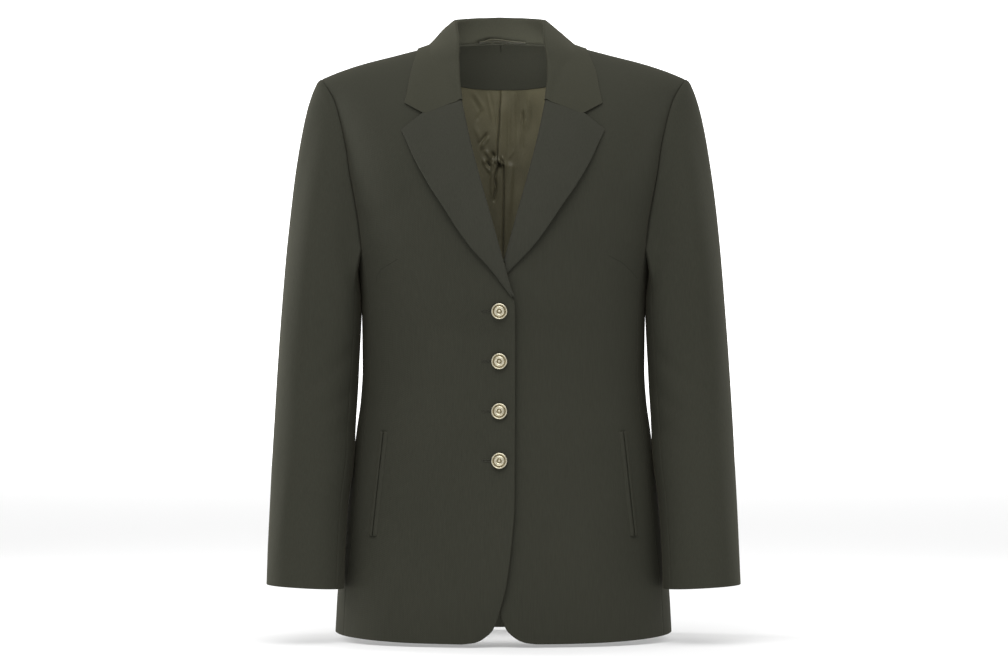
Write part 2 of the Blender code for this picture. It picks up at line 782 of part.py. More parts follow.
def neckline_point(station):
    """The body's neckline and its normal, centre back to gorge."""
    if station <= SHOULDER_STATION:
        share = station / SHOULDER_STATION
        out = NECK_OUT * math.sin(share * math.pi / 2.0)
        run = neckline_run(out)
        across = out / upper_point(1.0, run, False).x
        point = upper_point(across, run, False)
        along = upper_point(across + 0.01, run, False) - upper_point(across - 0.01, run, False)
        low = min(run, 0.99)
        up = upper_point(across, low, False) - upper_point(across, low - 0.01, False)
        return point, up.cross(along).normalized()
    share = (station - SHOULDER_STATION) / (1.0 - SHOULDER_STATION)
    height = ROLL_LINE[-1][0] + (GORGE - ROLL_LINE[-1][0]) * share
    surface = front_surface(LEFT)
    low, high = 1.0, 2.0
    for _ in range(24):
        middle = (low + high) / 2
        if surface(0.0, middle).z < height:
            low = middle
        else:
            high = middle
    return surface(0.0, middle), front_normal(surface, 0.0, middle)


def collar_table():
    """The stations with the second one repeated on the other side of the centre back."""
    first = COLLAR_STATIONS[1]
    opposite = (-first[0], -first[1], first[2], first[3], -first[4], first[5], first[6])
    return (opposite,) + COLLAR_STATIONS


def collar_row(skin, station):
    """Centre points of the collar's section: up the stand, over the fold, down the fall."""
    neck, normal = neckline_point(station)
    fold = neck + Vector([read(collar_table(), station, k) for k in (1, 2, 3)])
    edge = Vector([read(collar_table(), station, k) for k in (4, 5, 6)])
    front_share = smooth_step(station, 0.60, 1.0)
    inward = Vector((-1.0, 0.0, 0.0))
    onward = (fold - neck).normalized().lerp(inward, front_share).normalized()
    outward = Vector((edge.x - fold.x, edge.y - fold.y, 0.0)).normalized()
    turn = outward.lerp(normal, front_share)
    turn = (turn - onward * turn.dot(onward)).normalized()
    clear = 0.0018 * (1.0 - front_share) + SEAM_GAP + 0.0001
    depth = normal * (CLOTH / 2 * front_share)
    foot = neck - depth + onward * clear
    start = fold - depth + onward * (clear + 0.0002)
    row = [foot, foot.lerp(start, 0.33), foot.lerp(start, 0.67)]
    row += fold_arc(start, onward, turn, COLLAR_FOLD_RADIUS)
    after = row[-1]
    bend = (station / LAST_ROW) ** 8
    for share in FALL_SHARES:
        place = after.lerp(edge, share)
        place.z, place.x = bent_row((after.z, after.x), NOTCH_CORNER, (edge.z, edge.x), share, bend)
        place.z += bend * SEAM_GAP * min(share * 4.0, 1.0)
        swell = 0.0030 * math.sin(math.pi * share) * (1.0 - front_share)
        place = place + outward * swell + Vector((0.0, 0.0, swell))
        row.append(lift_off(skin, place, 0.0024 + 0.0010 * math.sin(math.pi * share)))
    return row


def make_collar(skin):
    stations = spread(0.0, LAST_ROW, COLLAR_HALF_STATIONS)
    left = [collar_row(skin, station) for station in stations]
    right = [[mirrored(p, RIGHT) for p in row] for row in left[1:]]
    build_sheet("collar", "collar_cloth", (right[::-1] + left)[::-1], COLLAR_WALL)


# ---------------------------------------------------------------- inside of the back
FACING_ROW = 7              # of the back's upper rows, where the facing meets the lining
FACING_SHARE = 0.375        # of the back's width
LINING_PLEAT = (0.03, 0.07)


def inside_back(share, level, depth_in):
    """A place inside the back panel, made from the panel's own grid."""
    point = back_surface(abs(share), level) - back_normal(abs(share), level) * depth_in
    return mirrored(point, math.copysign(1.0, share))


def make_neck_facing():
    levels = upper_levels()[FACING_ROW:]
    levels[-1] -= 0.02
    columns = round(FACING_SHARE * (BACK_COLUMNS - 1))
    shares = [k / (BACK_COLUMNS - 1) for k in range(-columns, columns + 1)]
    rows = [[inside_back(s, level, CLOTH + SEAM_GAP + 0.0014) for s in shares]
            for level in levels]
    build_sheet("back_neck_facing", "worsted", rows, 0.0012)


def lining_fold(out, height):
    """The centre pleat and soft lengthwise waves."""
    pleat = 0.0050 * math.exp(-((out - 0.001) / 0.006) ** 2)
    waves = 0.0010 * math.cos(out / 0.021) * smooth_step(abs(out), 0.012, 0.03)
    return (pleat + waves) * smooth_step(height, FACING_FOOT, FACING_FOOT - 0.03)


def make_lining():
    levels = plain_heights()[1:] + upper_levels()[:FACING_ROW + 1]
    levels[0] = LINING_FOOT
    levels[-1] -= 0.006
    half = sorted([k / (BACK_COLUMNS - 1) for k in range(BACK_COLUMNS)] + list(LINING_PLEAT))
    half[-1] = LINING_EDGE_SHARE
    rows = []
    for level in levels:
        row = []
        for share in [-s for s in half[:0:-1]] + half:
            point = inside_back(share, level, CLOTH + 0.0035)
            point.y -= lining_fold(point.x, point.z)
            row.append(point)
        rows.append(row)
    build_sheet("back_lining", "satin", rows, LINING)


def make_hanger_loop():
    rows = [[], []]
    for across in spread(-1.0, 1.0, 9):
        share = across * LOOP_HALF / TIP_OUT
        bow = 1.0 - across ** 4
        for k, level in enumerate((1.925, 1.965)):
            point = inside_back(share, level - 0.012 * bow, CLOTH + 0.0038 + 0.0018 * bow)
            rows[k].append(point)
    build_sheet("hanger_loop", "satin", rows, 0.0012)


# ---------------------------------------------------------------- pockets and buttons
def make_welt(name, side, skin, towards):
    """One welt of a slanted jetted pocket: towards is +1 on the side seam's edge of the slit."""
    rows = []
    for share in spread(0.0, 1.0, 8):
        height, out = (a + (b - a) * share for a, b in zip(POCKET_FOOT, POCKET_TOP))
        row = []
        near, far = (0.0002, WELT_WIDTH) if towards > 0 else (-WELT_WIDTH, -0.0002)
        for k in (near, (near + far) / 2, far):
            place, normal = front_depth(skin, out + k, height, side)
            row.append(mirrored(place + normal * (SEAM_GAP + WELT_WALL / 2 + 0.0001), side))
        rows.append(row)
    build_sheet(name, "worsted", rows, WELT_WALL, side)


def button_profile():
    """Radius and height down the button's outer side, from its face to its shank's foot."""
    rings = ((0.10, 0.0034), (0.22, 0.0034), (0.26, 0.0030), (0.38, 0.0030), (0.44, 0.0037),
             (0.58, 0.0037), (0.66, 0.0031), (0.78, 0.0033), (0.88, 0.0040), (0.96, 0.0036),
             (1.00, 0.0026), (0.97, 0.0014), (0.60, 0.0009), (0.30, 0.0008))
    return [(radius * BUTTON_RADIUS, height) for radius, height in rings]


def make_button(name, height):
    mesh = bpy.data.meshes.new(name)
    bm = bmesh.new()
    profile = [(0.0, 0.0034)] + button_profile() + [(0.30 * BUTTON_RADIUS, 0.0), (0.0, 0.0)]
    verts = [bm.verts.new((radius, 0.0, level)) for radius, level in profile]
    for a, b in zip(verts, verts[1:]):
        bm.edges.new((a, b))
    bm.to_mesh(mesh)
    bm.free()
    item = bpy.data.objects.new(name, mesh)
    bpy.data.collections["single_breasted_blazer"].objects.link(item)
    mesh.materials.append(bpy.data.materials["pale_gold"])
    screw = item.modifiers.new("Turned", "SCREW")
    screw.axis = "Z"
    screw.steps = 16
    screw.render_steps = 16
    screw.use_merge_vertices = True
    screw.merge_threshold = 0.00005
    screw.use_smooth_shade = False
    surface = front_surface(RIGHT)
    out = -CLOSING_LINE
    half = FRONT_SEAM_RATIO * read(BODY_RINGS, height, 1)
    start = edge_out(height, RIGHT)
    share = (out - start) / (half - start)
    seat = mirrored(surface(share, height), RIGHT)
    normal = mirrored(front_normal(surface, share, height), RIGHT)
    item.location = seat + normal * (SEAM_GAP + 0.00005)
    item.rotation_mode = "QUATERNION"
    item.rotation_quaternion = normal.to_track_quat("Z", "Y")


# ---------------------------------------------------------------- the whole garment
def clear_scene():
    for item in list(bpy.data.objects):
        bpy.data.objects.remove(item, do_unlink=True)


def make_materials():
    for name, (colour, roughness, metallic) in MATERIALS.items():
        material = bpy.data.materials.new(name)
        material.use_nodes = True
        shader = material.node_tree.nodes["Principled BSDF"]
        shader.inputs["Base Color"].default_value = (*colour, 1.0)
        shader.inputs["Roughness"].default_value = roughness
        shader.inputs["Metallic"].default_value = metallic


def main():
    clear_scene()
    collection = bpy.data.collections.new("single_breasted_blazer")
    bpy.context.scene.collection.children.link(collection)
    make_materials()
    skin = guide_skin()
    low = lower_skin()
    for word, side in (("right", RIGHT), ("left", LEFT)):
        make_front("front_" + word, side)
        make_side("side_" + word, side)
        make_back("back_" + word, side)
        make_sleeve(word, side)
        make_lapel("lapel_" + word, side, skin)
        make_welt("welt_" + word + "_outer", side, low, 1)
        make_welt("welt_" + word + "_inner", side, low, -1)
    make_collar(skin)
    make_neck_facing()
    make_lining()
    make_hanger_loop()
    for number, height in enumerate(BUTTON_HEIGHTS, start=1):
        make_button("button_" + str(number), height)


main()
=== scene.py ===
"""Looks of the single-breasted blazer: fine cloth shells, seams, stitching, buttons and lining.

Metres, and millimetres in the tables inside mm(). +Z is up, +X the wearer's left and -Y the front.
Every cloth piece repeats the form of its solid at a finer resolution and adds the creases. Places
on a front, back or sleeve are worked out for the wearer's left and mirrored for the right. "Out" is
the distance from the centre line.
"""

import math

import bmesh
import bpy
import numpy as np
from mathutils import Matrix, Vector
from mathutils.bvhtree import BVHTree


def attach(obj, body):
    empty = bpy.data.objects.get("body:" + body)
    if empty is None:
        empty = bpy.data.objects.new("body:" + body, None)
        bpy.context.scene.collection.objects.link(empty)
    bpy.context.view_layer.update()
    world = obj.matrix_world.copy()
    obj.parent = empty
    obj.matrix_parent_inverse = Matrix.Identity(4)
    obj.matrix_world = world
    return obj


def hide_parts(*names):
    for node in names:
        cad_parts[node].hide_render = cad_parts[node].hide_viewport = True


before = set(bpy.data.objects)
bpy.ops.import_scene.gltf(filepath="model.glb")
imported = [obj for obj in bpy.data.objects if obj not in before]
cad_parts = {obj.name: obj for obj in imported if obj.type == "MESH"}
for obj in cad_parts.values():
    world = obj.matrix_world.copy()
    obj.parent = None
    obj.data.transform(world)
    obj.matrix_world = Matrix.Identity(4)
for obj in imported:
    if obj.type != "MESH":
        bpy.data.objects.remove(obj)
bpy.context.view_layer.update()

CLOTH = 0.0018              # thickness of each cloth
LINING = 0.0011
SLEEVE_CLOTH = 0.0014
SEAM_GAP = 0.0003
LEFT = 1.0
RIGHT = -1.0
SIDES = (("left", LEFT), ("right", RIGHT))
RELIEF_OF_WOOL = 0.00012    # how uneven pressed worsted is


def mm(*rows, plain=()):
    """The rows of a table that is written in millimetres; its plain columns aren't lengths."""
    return [[value if k in plain else value / 1000.0 for k, value in enumerate(row)]
            for row in rows]


# ---- sizes of the garment's form
# Rings round the body: height, half width, depth in front, depth behind.
BODY_RINGS = mm(
    (-709, 201.5, 137, 135), (-660, 199, 136.5, 135), (-560, 187.6, 133, 131),
    (-463, 176, 127.5, 122), (-427, 171.2, 125, 116), (-391, 169, 124, 112),
    (-355, 169.2, 124.5, 113), (-300, 170.4, 128.5, 120), (-247, 173.8, 130, 128))
BODY_SQUARENESS = 2.35
HEM = -0.709
UNDERARM = -0.247
FRONT_SEAM_RATIO = 0.94
BACK_SEAM_RATIO = 0.93
SIDE_HEM_RISE = 0.006
HEM_RISE_HEIGHT = 0.10

# Shoulder seam, extended to the centre: out, height.
SHOULDER_LINE = mm(
    (-30, 12.5), (0, 15.5), (30, 12.5), (72, 1.5), (124, -12), (172, -24.6), (196, -32.6),
    (218, -41.7))
NECK_OUT = 0.072
TIP_OUT = 0.218
SEAM_DEPTH_NECK = 0.012
SEAM_DEPTH_TIP = 0.004
FRONT_SHELL_POWER = 2.25
BACK_SHELL_POWER = 2.6
RUN_EVENNESS = 1.35
SETTLING = 6                        # rounds in which a place on a shell settles on its edge

# Armhole seam seen from the front: height, out.
FRONT_ARMHOLE = mm(
    (-247, 163.4), (-213, 170), (-166, 179), (-118, 189), (-71, 201.5), (-41.7, 218))
BACK_ARMHOLE = mm(
    (-247, 161.6), (-213, 170), (-166, 181), (-118, 193), (-71, 206), (-41.7, 218))
BACK_NECK_DROP = 0.1445

# Roll line and neckline of a front: height, out.
ROLL_LINE = mm(
    (-307, -12.5), (-275, -3.5), (-258, 1.2), (-212, 14), (-168, 26.4), (-116, 39.8), (-74, 48.6),
    (-40, 56), (1.5, 72))
BREAK = -0.307
BREAK_TURN = (-0.317, -0.295)       # heights between which the closing edge becomes the roll
LEFT_LAPEL_FOOT = (-0.264, -0.2820)
GORGE = -0.074
FOLD_MARGIN = 0.0032

# Closing edge: height, how far a front reaches past the closing line.
CLOSING_EDGE = mm(
    (-709, -44), (-707.5, -31), (-703.5, -21.2), (-692, -8.5), (-663, 1.6), (-639, 7.4),
    (-593, 13.2), (-545, 16.7), (-350, 17.5), (-307, 17))
CLOSING_LINE = -0.0045
# The right front laps over the left one: height, how far it stands off.
LAP = mm(
    (-709, 2.4), (-360, 2.4), (-300, 6.2), (-250, 6.2), (-150, 0), (20, 0))
LAP_FADE = (-0.090, -0.028)

# Lapel's outer edge: height, out.
LAPEL_EDGE = mm(
    (-307, -11.2), (-275, 12.5), (-247, 36.5), (-228, 50), (-200, 68), (-172, 86), (-144, 102),
    (-125, 111), (-107.4, 119.5))
# The left lapel's edge lies nearer the centre than the right one's: height, how far.
LEFT_LAPEL_SHIFT = mm(
    (-282, 7.2), (-270, 6.4), (-232, 3.8), (-107.4, 1))
NOTCH_CORNER = (-0.089, 0.0936)
NOTCH_SHARE = 0.64
LAPEL_WALL = 0.0016
LAPEL_FOLD_RADIUS = 0.0016
LAPEL_LIFT = 0.0016
LAPEL_ROLL = 0.0066      # how far the outer edge stands off, halfway up
RIGHT_LAPEL_START = 0.014
LAPEL_CLEARANCE = 0.0013
LAST_ROW = 0.998            # share at which the lapel and the collar end, at the gorge
EDGE_ROW = 0.0010

# Collar, centre back to gorge: station, the fold's place from the neckline (out, depth, height),
# the outer edge's place (out, depth, height).
# The first row only keeps the curve even across the centre back.
COLLAR_STATIONS = mm(
    (-0.25, 14, -3, 27.4, -56, 78, -20), (0, 0, -7, 26.4, 0, 93, -20),
    (0.25, -14, -3, 27.4, 56, 78, -20), (0.5, -19, -4, 23.4, 98.5, 16, -8.5),
    (0.62, -11.5, -10, 11, 103, -30, -16.5), (0.75, -4.8, -3, 3.6, 107, -52, -34),
    (0.88, -1.4, -0.6, 0.8, 111, -68, -55), (1, -0.6, 0, 0.3, 116, -82, -76.5), plain=(0,))
COLLAR_WALL = 0.0018
COLLAR_FOLD_RADIUS = 0.0022
SHOULDER_STATION = 0.5

# Rings of a sleeve: height, outer out, inner out, front depth, back depth, inner squareness.
SLEEVE_RINGS = mm(
    (-302, 264.2, 173.4, -68.5, 52.5, 3.4), (-350, 267.5, 172.6, -72, 44, 2.9),
    (-400, 270.5, 173.2, -77, 34.5, 2.5), (-450, 273, 175.7, -83.5, 23, 2.25),
    (-500, 275.2, 179.5, -91.5, 10, 2.15), (-550, 277, 184.2, -101, -4.5, 2.15),
    (-600, 278.5, 186.8, -110.5, -20.5, 2.15), (-647, 279.5, 188, -119, -37, 2.15), plain=(5,))
OUTER_SQUARENESS = 2.15
BICEP = -0.302
CUFF = -0.647
CUFF_OUTER_RISE = 0.005
CUFF_RISE_HEIGHT = 0.08
# The cap's curve: how it leaves the armhole at the underarm and on top, and its handles.
CAP_LEAVES_OUT = (0.05, 0.95)
CAP_LEAVES_UP = (-1.0, -0.40)
CAP_TURN = 100.0                    # degrees from the underarm to where it leaves as on top
CAP_HANDLE = 0.026
CAP_LOWER_HANDLE = 0.100
CAP_HANDLE_SHARE = 0.33             # longest handle, as a share of the curve's length

POCKET_TOP = (-0.463, 0.1405)       # height, out
POCKET_FOOT = (-0.585, 0.1535)
WELT_WALL = 0.0014
BUTTON_HEIGHTS = (-0.3210, -0.3794, -0.4378, -0.4954)
BUTTON_RADIUS = 0.0095
FACING_RUN = 0.70                   # of the back shell's run, where facing and lining meet
FACING_SHARE = 0.375
LINING_FOOT = -0.682
LINING_EDGE_SHARE = 0.955


# ---- curves through the tables
def smooth_step(value, low, high):
    share = np.clip((value - low) / (high - low), 0.0, 1.0)
    return share * share * (3.0 - 2.0 * share)


def mix(low, high, share):
    return low + (high - low) * share


def arch(share):
    return math.sin(math.pi * share)


def bump(distance, width):
    return np.exp(-(distance / width) ** 2)


def read(table, at, column=1):
    """The value of a column at places in the first column, on a smooth curve through the rows."""
    rows = np.array(sorted(table))
    x, y = rows[:, 0], rows[:, column]
    slope = np.diff(y) / np.diff(x)
    before, after = slope[:-1], slope[1:]
    same = before * after > 0
    inner = np.where(same, 2.0 * before * after / np.where(same, before + after, 1.0), 0.0)
    tangent = np.concatenate((slope[:1], inner, slope[-1:]))
    at = np.clip(at, x[0], x[-1])
    k = np.clip(np.searchsorted(x, at, side="left") - 1, 0, len(x) - 2)
    width = x[k + 1] - x[k]
    u = (at - x[k]) / width
    return ((1 + 2 * u) * (1 - u) ** 2 * y[k] + u * (1 - u) ** 2 * width * tangent[k]
            + u * u * (3 - 2 * u) * y[k + 1] + u * u * (u - 1) * width * tangent[k + 1])


def points_of(x, y, z):
    return np.stack(np.broadcast_arrays(x, y, z), axis=-1).astype(float)


def unit(vectors):
    return vectors / np.maximum(np.linalg.norm(vectors, axis=-1, keepdims=True), 1e-12)


# ---- the body's form
def ring_depth(out, height, front):
    half, depth = (read(BODY_RINGS, height, k) for k in (1, 2 if front else 3))
    inside = np.maximum(1.0 - np.abs(out / half) ** BODY_SQUARENESS, 0.0)
    return depth * inside ** (1.0 / BODY_SQUARENESS)


def hem_lift(out, height):
    half = read(BODY_RINGS, height, 1)
    low = smooth_step(height, HEM + HEM_RISE_HEIGHT, HEM)
    return SIDE_HEM_RISE * np.minimum(np.abs(out / half), 1.0) ** 4 * low


def lower_point(out, height, front):
    depth = ring_depth(out, height, front)
    return points_of(out, -depth if front else depth, height + hem_lift(out, height))


def side_point(turn, height):
    half, ahead, behind = (read(BODY_RINGS, height, k) for k in (1, 2, 3))
    power = 2.0 / BODY_SQUARENESS
    out = half * np.cos(turn) ** power
    y = np.copysign(np.where(turn > 0, behind, ahead) * np.abs(np.sin(turn)) ** power, turn)
    return points_of(out, y, height + hem_lift(out, height))


def seam_turn(ratio):
    return math.acos(ratio ** (BODY_SQUARENESS / 2.0))


def upper_point(share, run, front):
    """The front or back shell: share from the centre to the armhole, run from underarm to seam."""
    power = 2.0 / (FRONT_SHELL_POWER if front else BACK_SHELL_POWER)
    ratio = FRONT_SEAM_RATIO if front else BACK_SEAM_RATIO
    angle = np.clip(run, 0.0, 1.0) ** RUN_EVENNESS * math.pi / 2.0
    rise = np.sin(angle) ** power
    stay = np.maximum(np.cos(angle), 0.0) ** power
    edge_height = mix(UNDERARM, read(SHOULDER_LINE, TIP_OUT), rise)
    out = share * read(FRONT_ARMHOLE if front else BACK_ARMHOLE, edge_height)
    seam_out = np.abs(share) * TIP_OUT
    seam_depth = mix(SEAM_DEPTH_NECK, SEAM_DEPTH_TIP, smooth_step(seam_out, NECK_OUT, TIP_OUT))
    foot = lower_point(share * ratio * read(BODY_RINGS, UNDERARM), UNDERARM, front)[..., 1]
    height = mix(UNDERARM, read(SHOULDER_LINE, seam_out), rise)
    return points_of(out, mix(seam_depth, foot, stay), height)


def edge_out(height, side):
    """Where a front's free or folded edge lies, out from the centre on its own side."""
    closing = CLOSING_LINE * side - read(CLOSING_EDGE, height)
    fold = read(ROLL_LINE, height) + FOLD_MARGIN * smooth_step(height, 0.0, GORGE)
    return mix(closing, fold, smooth_step(height, *BREAK_TURN))


def front_point(side, share, level):
    """A front's outer surface: level is a height up to the underarm, and 1 + run above it."""
    share, level = np.broadcast_arrays(np.asarray(share, float), np.asarray(level, float))
    height = np.minimum(level, UNDERARM)
    half = FRONT_SEAM_RATIO * read(BODY_RINGS, height)
    lower = lower_point(mix(edge_out(height, side), half, share), height, True)
    run = np.clip(level - 1.0, 0.0, 1.0)
    full = upper_point(1.0, run, True)[..., 0]
    start = np.zeros_like(run)
    for _ in range(SETTLING):
        start = edge_out(upper_point(start, run, True)[..., 2], side) / full
    upper = upper_point(mix(start, 1.0, share), run, True)
    points = np.where((level < 0.0)[..., None], lower, upper)
    if side == RIGHT:
        points[..., 1] -= read(LAP, points[..., 2]) * smooth_step(-points[..., 0], *LAP_FADE)
    return points


def neckline_run(out):
    inside = np.maximum(1.0 - (np.minimum(out, NECK_OUT) / NECK_OUT) ** 2, 0.0)
    return 1.0 - BACK_NECK_DROP * inside ** 0.6


def back_point(share, level):
    share, level = np.broadcast_arrays(np.asarray(share, float), np.asarray(level, float))
    height = np.minimum(level, UNDERARM)
    lower = lower_point(share * BACK_SEAM_RATIO * read(BODY_RINGS, height), height, False)
    top = np.ones_like(share)
    for _ in range(SETTLING):
        top = neckline_run(np.abs(upper_point(share, top, False)[..., 0]))
    upper = upper_point(share, np.clip(level - 1.0, 0.0, 1.0) * top, False)
    return np.where((level < 0.0)[..., None], lower, upper)


# Where the front armhole seam runs further out: height, how far.
ARMHOLE_SHIFT = mm(
    (-305, 0), (-270, 2.4), (-243, 5.6), (-210, 3.6), (-160, 3), (-120, 0.6), (-70, 0))
SHIFT_MIDDLE = 0.170
SHIFT_WIDTH = 0.050
SHIFT_FADE = (0.010, -0.030)


def shifted(points):
    """Eases the front and the sleeve sideways together along the front of the armhole."""
    x, y, height = (points[..., k] for k in range(3))
    near = bump(x - SHIFT_MIDDLE, SHIFT_WIDTH) * smooth_step(y, *SHIFT_FADE)
    return points_of(x + read(ARMHOLE_SHIFT, height) * near, y, height)


# ---- the sleeve's form
ARMHOLE_STEPS = 181


def measure_armhole(front):
    """The seam from the shoulder tip to the middle of the side panel, and each point's angle."""
    points = upper_point(1.0, np.linspace(1.0, 0.0, ARMHOLE_STEPS), front)
    corner = -seam_turn(FRONT_SEAM_RATIO) if front else seam_turn(BACK_SEAM_RATIO)
    below = side_point(np.linspace(corner, 0.0, ARMHOLE_STEPS), UNDERARM)
    points = np.concatenate((points, below[1:]))
    lengths = np.append(0.0, np.cumsum(np.linalg.norm(np.diff(points, axis=0), axis=1)))
    return points, 180.0 * lengths / lengths[-1]


ARMHOLES = {front: measure_armhole(front) for front in (True, False)}
FRONT_CORNER = ARMHOLES[True][1][ARMHOLE_STEPS - 1]
BACK_CORNER = ARMHOLES[False][1][ARMHOLE_STEPS - 1]


def half_turned(angle):
    """The same angle between half a turn back and half a turn on."""
    return (angle + 180.0) % 360.0 - 180.0


def interpolated(at, places, points):
    """The point at places along a line of points."""
    return np.stack([np.interp(at, places, points[:, k]) for k in range(3)], -1)


def armhole_point(angle):
    angle = half_turned(angle)
    halves = []
    for front in (True, False):
        points, angles = ARMHOLES[front]
        halves.append(interpolated(np.abs(angle), angles, points))
    return np.where((angle >= 0.0)[..., None], *halves)


def sleeve_ring_point(angle, height):
    outer, inner, front, back, squareness = (read(SLEEVE_RINGS, height, k) for k in range(1, 6))
    turn = np.radians(angle)
    power = 2.0 / np.where(np.cos(turn) < 0, squareness, OUTER_SQUARENESS)
    across, deep = (np.copysign(np.abs(wave) ** power, wave)
                    for wave in (np.cos(turn), np.sin(turn)))
    out = (outer + inner) / 2 + (outer - inner) / 2 * across
    depth = (front + back) / 2 - (back - front) / 2 * deep
    rise = CUFF_OUTER_RISE * (across + 1) / 2 * smooth_step(height, CUFF + CUFF_RISE_HEIGHT, CUFF)
    return points_of(out, depth, height + rise)


def sleeve_cap_point(angle, level):
    """A curve from the armhole, at level 1, to the bicep ring at level 0."""
    end = sleeve_ring_point(angle, BICEP)
    outward = smooth_step(np.abs(angle % 360.0 - 180.0), 0.0, CAP_TURN)
    leave = unit(points_of(mix(*CAP_LEAVES_OUT, outward), 0.0, mix(*CAP_LEAVES_UP, outward)))
    start = armhole_point(angle) + leave * SEWN_GAP
    longest = CAP_HANDLE_SHARE * np.linalg.norm(end - start, axis=-1, keepdims=True)
    first = start + leave * np.minimum(CAP_HANDLE, longest)
    onward = unit(end - sleeve_ring_point(angle, BICEP - 0.01))
    last = end + onward * np.minimum(CAP_LOWER_HANDLE, longest)
    u = (1.0 - level)[..., None]
    return (start * (1 - u) ** 3 + first * 3 * u * (1 - u) ** 2
            + last * 3 * u * u * (1 - u) + end * u ** 3)


# ---- cloth shells
SEWN_GAP = 0.00002
SEAM_DIP = 0.00045
SEAM_HALF = 0.0011
EDGE_STEPS = (0.0, 0.0004, 0.0010, 0.0018, 0.0030, 0.0048)     # rows or columns next to an edge
EDGE_ROUND = 0.38                                              # of the cloth's thickness


def edged(length, step, start=True, end=True):
    """Shares along a length, evenly spaced but closer together next to its ends."""
    near = np.array(EDGE_STEPS) / length
    first, last = (near[-1] if start else 0.0), (1.0 - near[-1] if end else 1.0)
    middle = np.linspace(first, last, max(int((last - first) * length / step), 3))
    return np.concatenate((near[:-1] if start else [], middle, 1.0 - near[-2::-1] if end else []))


def directions(points, axis, wraps=False):
    """Directions along an axis of a grid, each between the steps before and after it."""
    ahead = unit(np.diff(points, axis=axis))
    if wraps:
        closing = unit(np.take(points, [0], axis) - np.take(points, [-1], axis))
        after = np.concatenate((ahead, closing), axis)
        return np.roll(after, 1, axis) + after
    after = np.concatenate((ahead, np.take(ahead, [-1], axis)), axis)
    return np.concatenate((np.take(ahead, [0], axis), ahead), axis) + after


def grid_normals(points, wraps=False):
    """Outward where columns run to the wearer's left and rows run up a front."""
    return unit(np.cross(directions(points, 1, wraps), directions(points, 0)))


def edge_distances(points):
    """How far each point is from the first and last column, and from the first and last row."""
    across, up = (np.cumsum(np.linalg.norm(np.diff(points, axis=axis), axis=-1), axis=axis)
                  for axis in (1, 0))
    across, up = np.pad(across, ((0, 0), (1, 0))), np.pad(up, ((1, 0), (0, 0)))
    return {"first_col": across, "last_col": across[:, -1:] - across,
            "first_row": up, "last_row": up[-1:] - up}


def seam_relief(points, seams):
    away = edge_distances(points)
    dips = (-SEAM_DIP * bump(away[seam], SEAM_HALF) for seam in seams)
    return sum(dips, np.zeros(points.shape[:2]))


EDGE_PLACES = {             # where each edge of a grid and its neighbour inward are
    "first_col": ((slice(None), 0), (slice(None), 1)),
    "last_col": ((slice(None), -1), (slice(None), -2)),
    "first_row": ((0,), (1,)), "last_row": ((-1,), (-2,))}


def draw_back(points, seams):
    """Moves the edges that are seams back by half the gap between sewn pieces."""
    points = points.copy()
    for seam in seams:
        edge, inward = EDGE_PLACES[seam]
        points[edge] += unit(points[inward] - points[edge]) * SEWN_GAP / 2
    return points


def grid_faces(rows, cols, start=0):
    index = start + np.arange(rows * cols).reshape(rows, cols)
    corners = (index[:-1, :-1], index[:-1, 1:], index[1:, 1:], index[1:, :-1])
    return np.stack(corners, -1).reshape(-1, 4)


def border(rows, cols):
    """Places round the edge of a grid: the row and column of each, and of its inner neighbour."""
    loop = [(0, c) for c in range(cols)]
    loop += [(r, cols - 1) for r in range(1, rows)]
    loop += [(rows - 1, c) for c in range(cols - 2, -1, -1)]
    loop += [(r, 0) for r in range(rows - 2, 0, -1)]
    inner = [(min(max(r, 1), rows - 2), min(max(c, 1), cols - 2)) for r, c in loop]
    return np.array(loop), np.array(inner)


MATERIALS = {}              # by name, as make_materials and the studio add them


def new_object(name, verts, faces, material_name):
    mesh = bpy.data.meshes.new(name)
    mesh.from_pydata(np.asarray(verts).tolist(), [], np.asarray(faces).tolist())
    mesh.materials.append(MATERIALS[material_name])
    mesh.shade_smooth()
    item = bpy.data.objects.new(name, mesh)
    bpy.context.scene.collection.objects.link(item)
    return item


def shell(node_name, material, outer, inner, side=LEFT, seams=()):
    """A closed shell between two grids, its rim rounded except along seams."""
    rows, cols = outer.shape[:2]
    loop, neighbour = border(rows, cols)
    o, i = (grid[loop[:, 0], loop[:, 1]] for grid in (outer, inner))
    outward = unit(o - outer[neighbour[:, 0], neighbour[:, 1]])
    at_edge = {"first_row": loop[:, 0] == 0, "last_row": loop[:, 0] == rows - 1,
               "first_col": loop[:, 1] == 0, "last_col": loop[:, 1] == cols - 1}
    sewn = sum((at_edge[seam] for seam in seams), np.zeros(len(loop), bool))
    reach = np.linalg.norm(o - i, axis=-1) * np.where(sewn, 0.0, EDGE_ROUND)
    middle = (o + i) / 2 + outward * reach[:, None]
    count = rows * cols
    edge = loop[:, 0] * cols + loop[:, 1]
    mid = 2 * count + np.arange(len(loop))
    after, mid_after = np.roll(edge, -1), np.roll(mid, -1)
    faces = np.concatenate((
        grid_faces(rows, cols),
        grid_faces(rows, cols, count)[:, ::-1],
        np.stack((after, edge, mid, mid_after), -1),
        np.stack((mid_after, mid, edge + count, after + count), -1)))
    verts = np.concatenate((outer.reshape(-1, 3), inner.reshape(-1, 3), middle))
    if side == RIGHT:
        faces = faces[:, ::-1]
    return new_object(node_name + "_cloth", verts * (side, 1.0, 1.0), faces, material)


# A seam allowance past the last column: how far it reaches under the next piece, how deep.
ALLOWANCE = mm(
    (0.1, 0.8), (0.8, 2.1), (3.6, 2.4))
ALLOWANCE_WALL = 0.0005


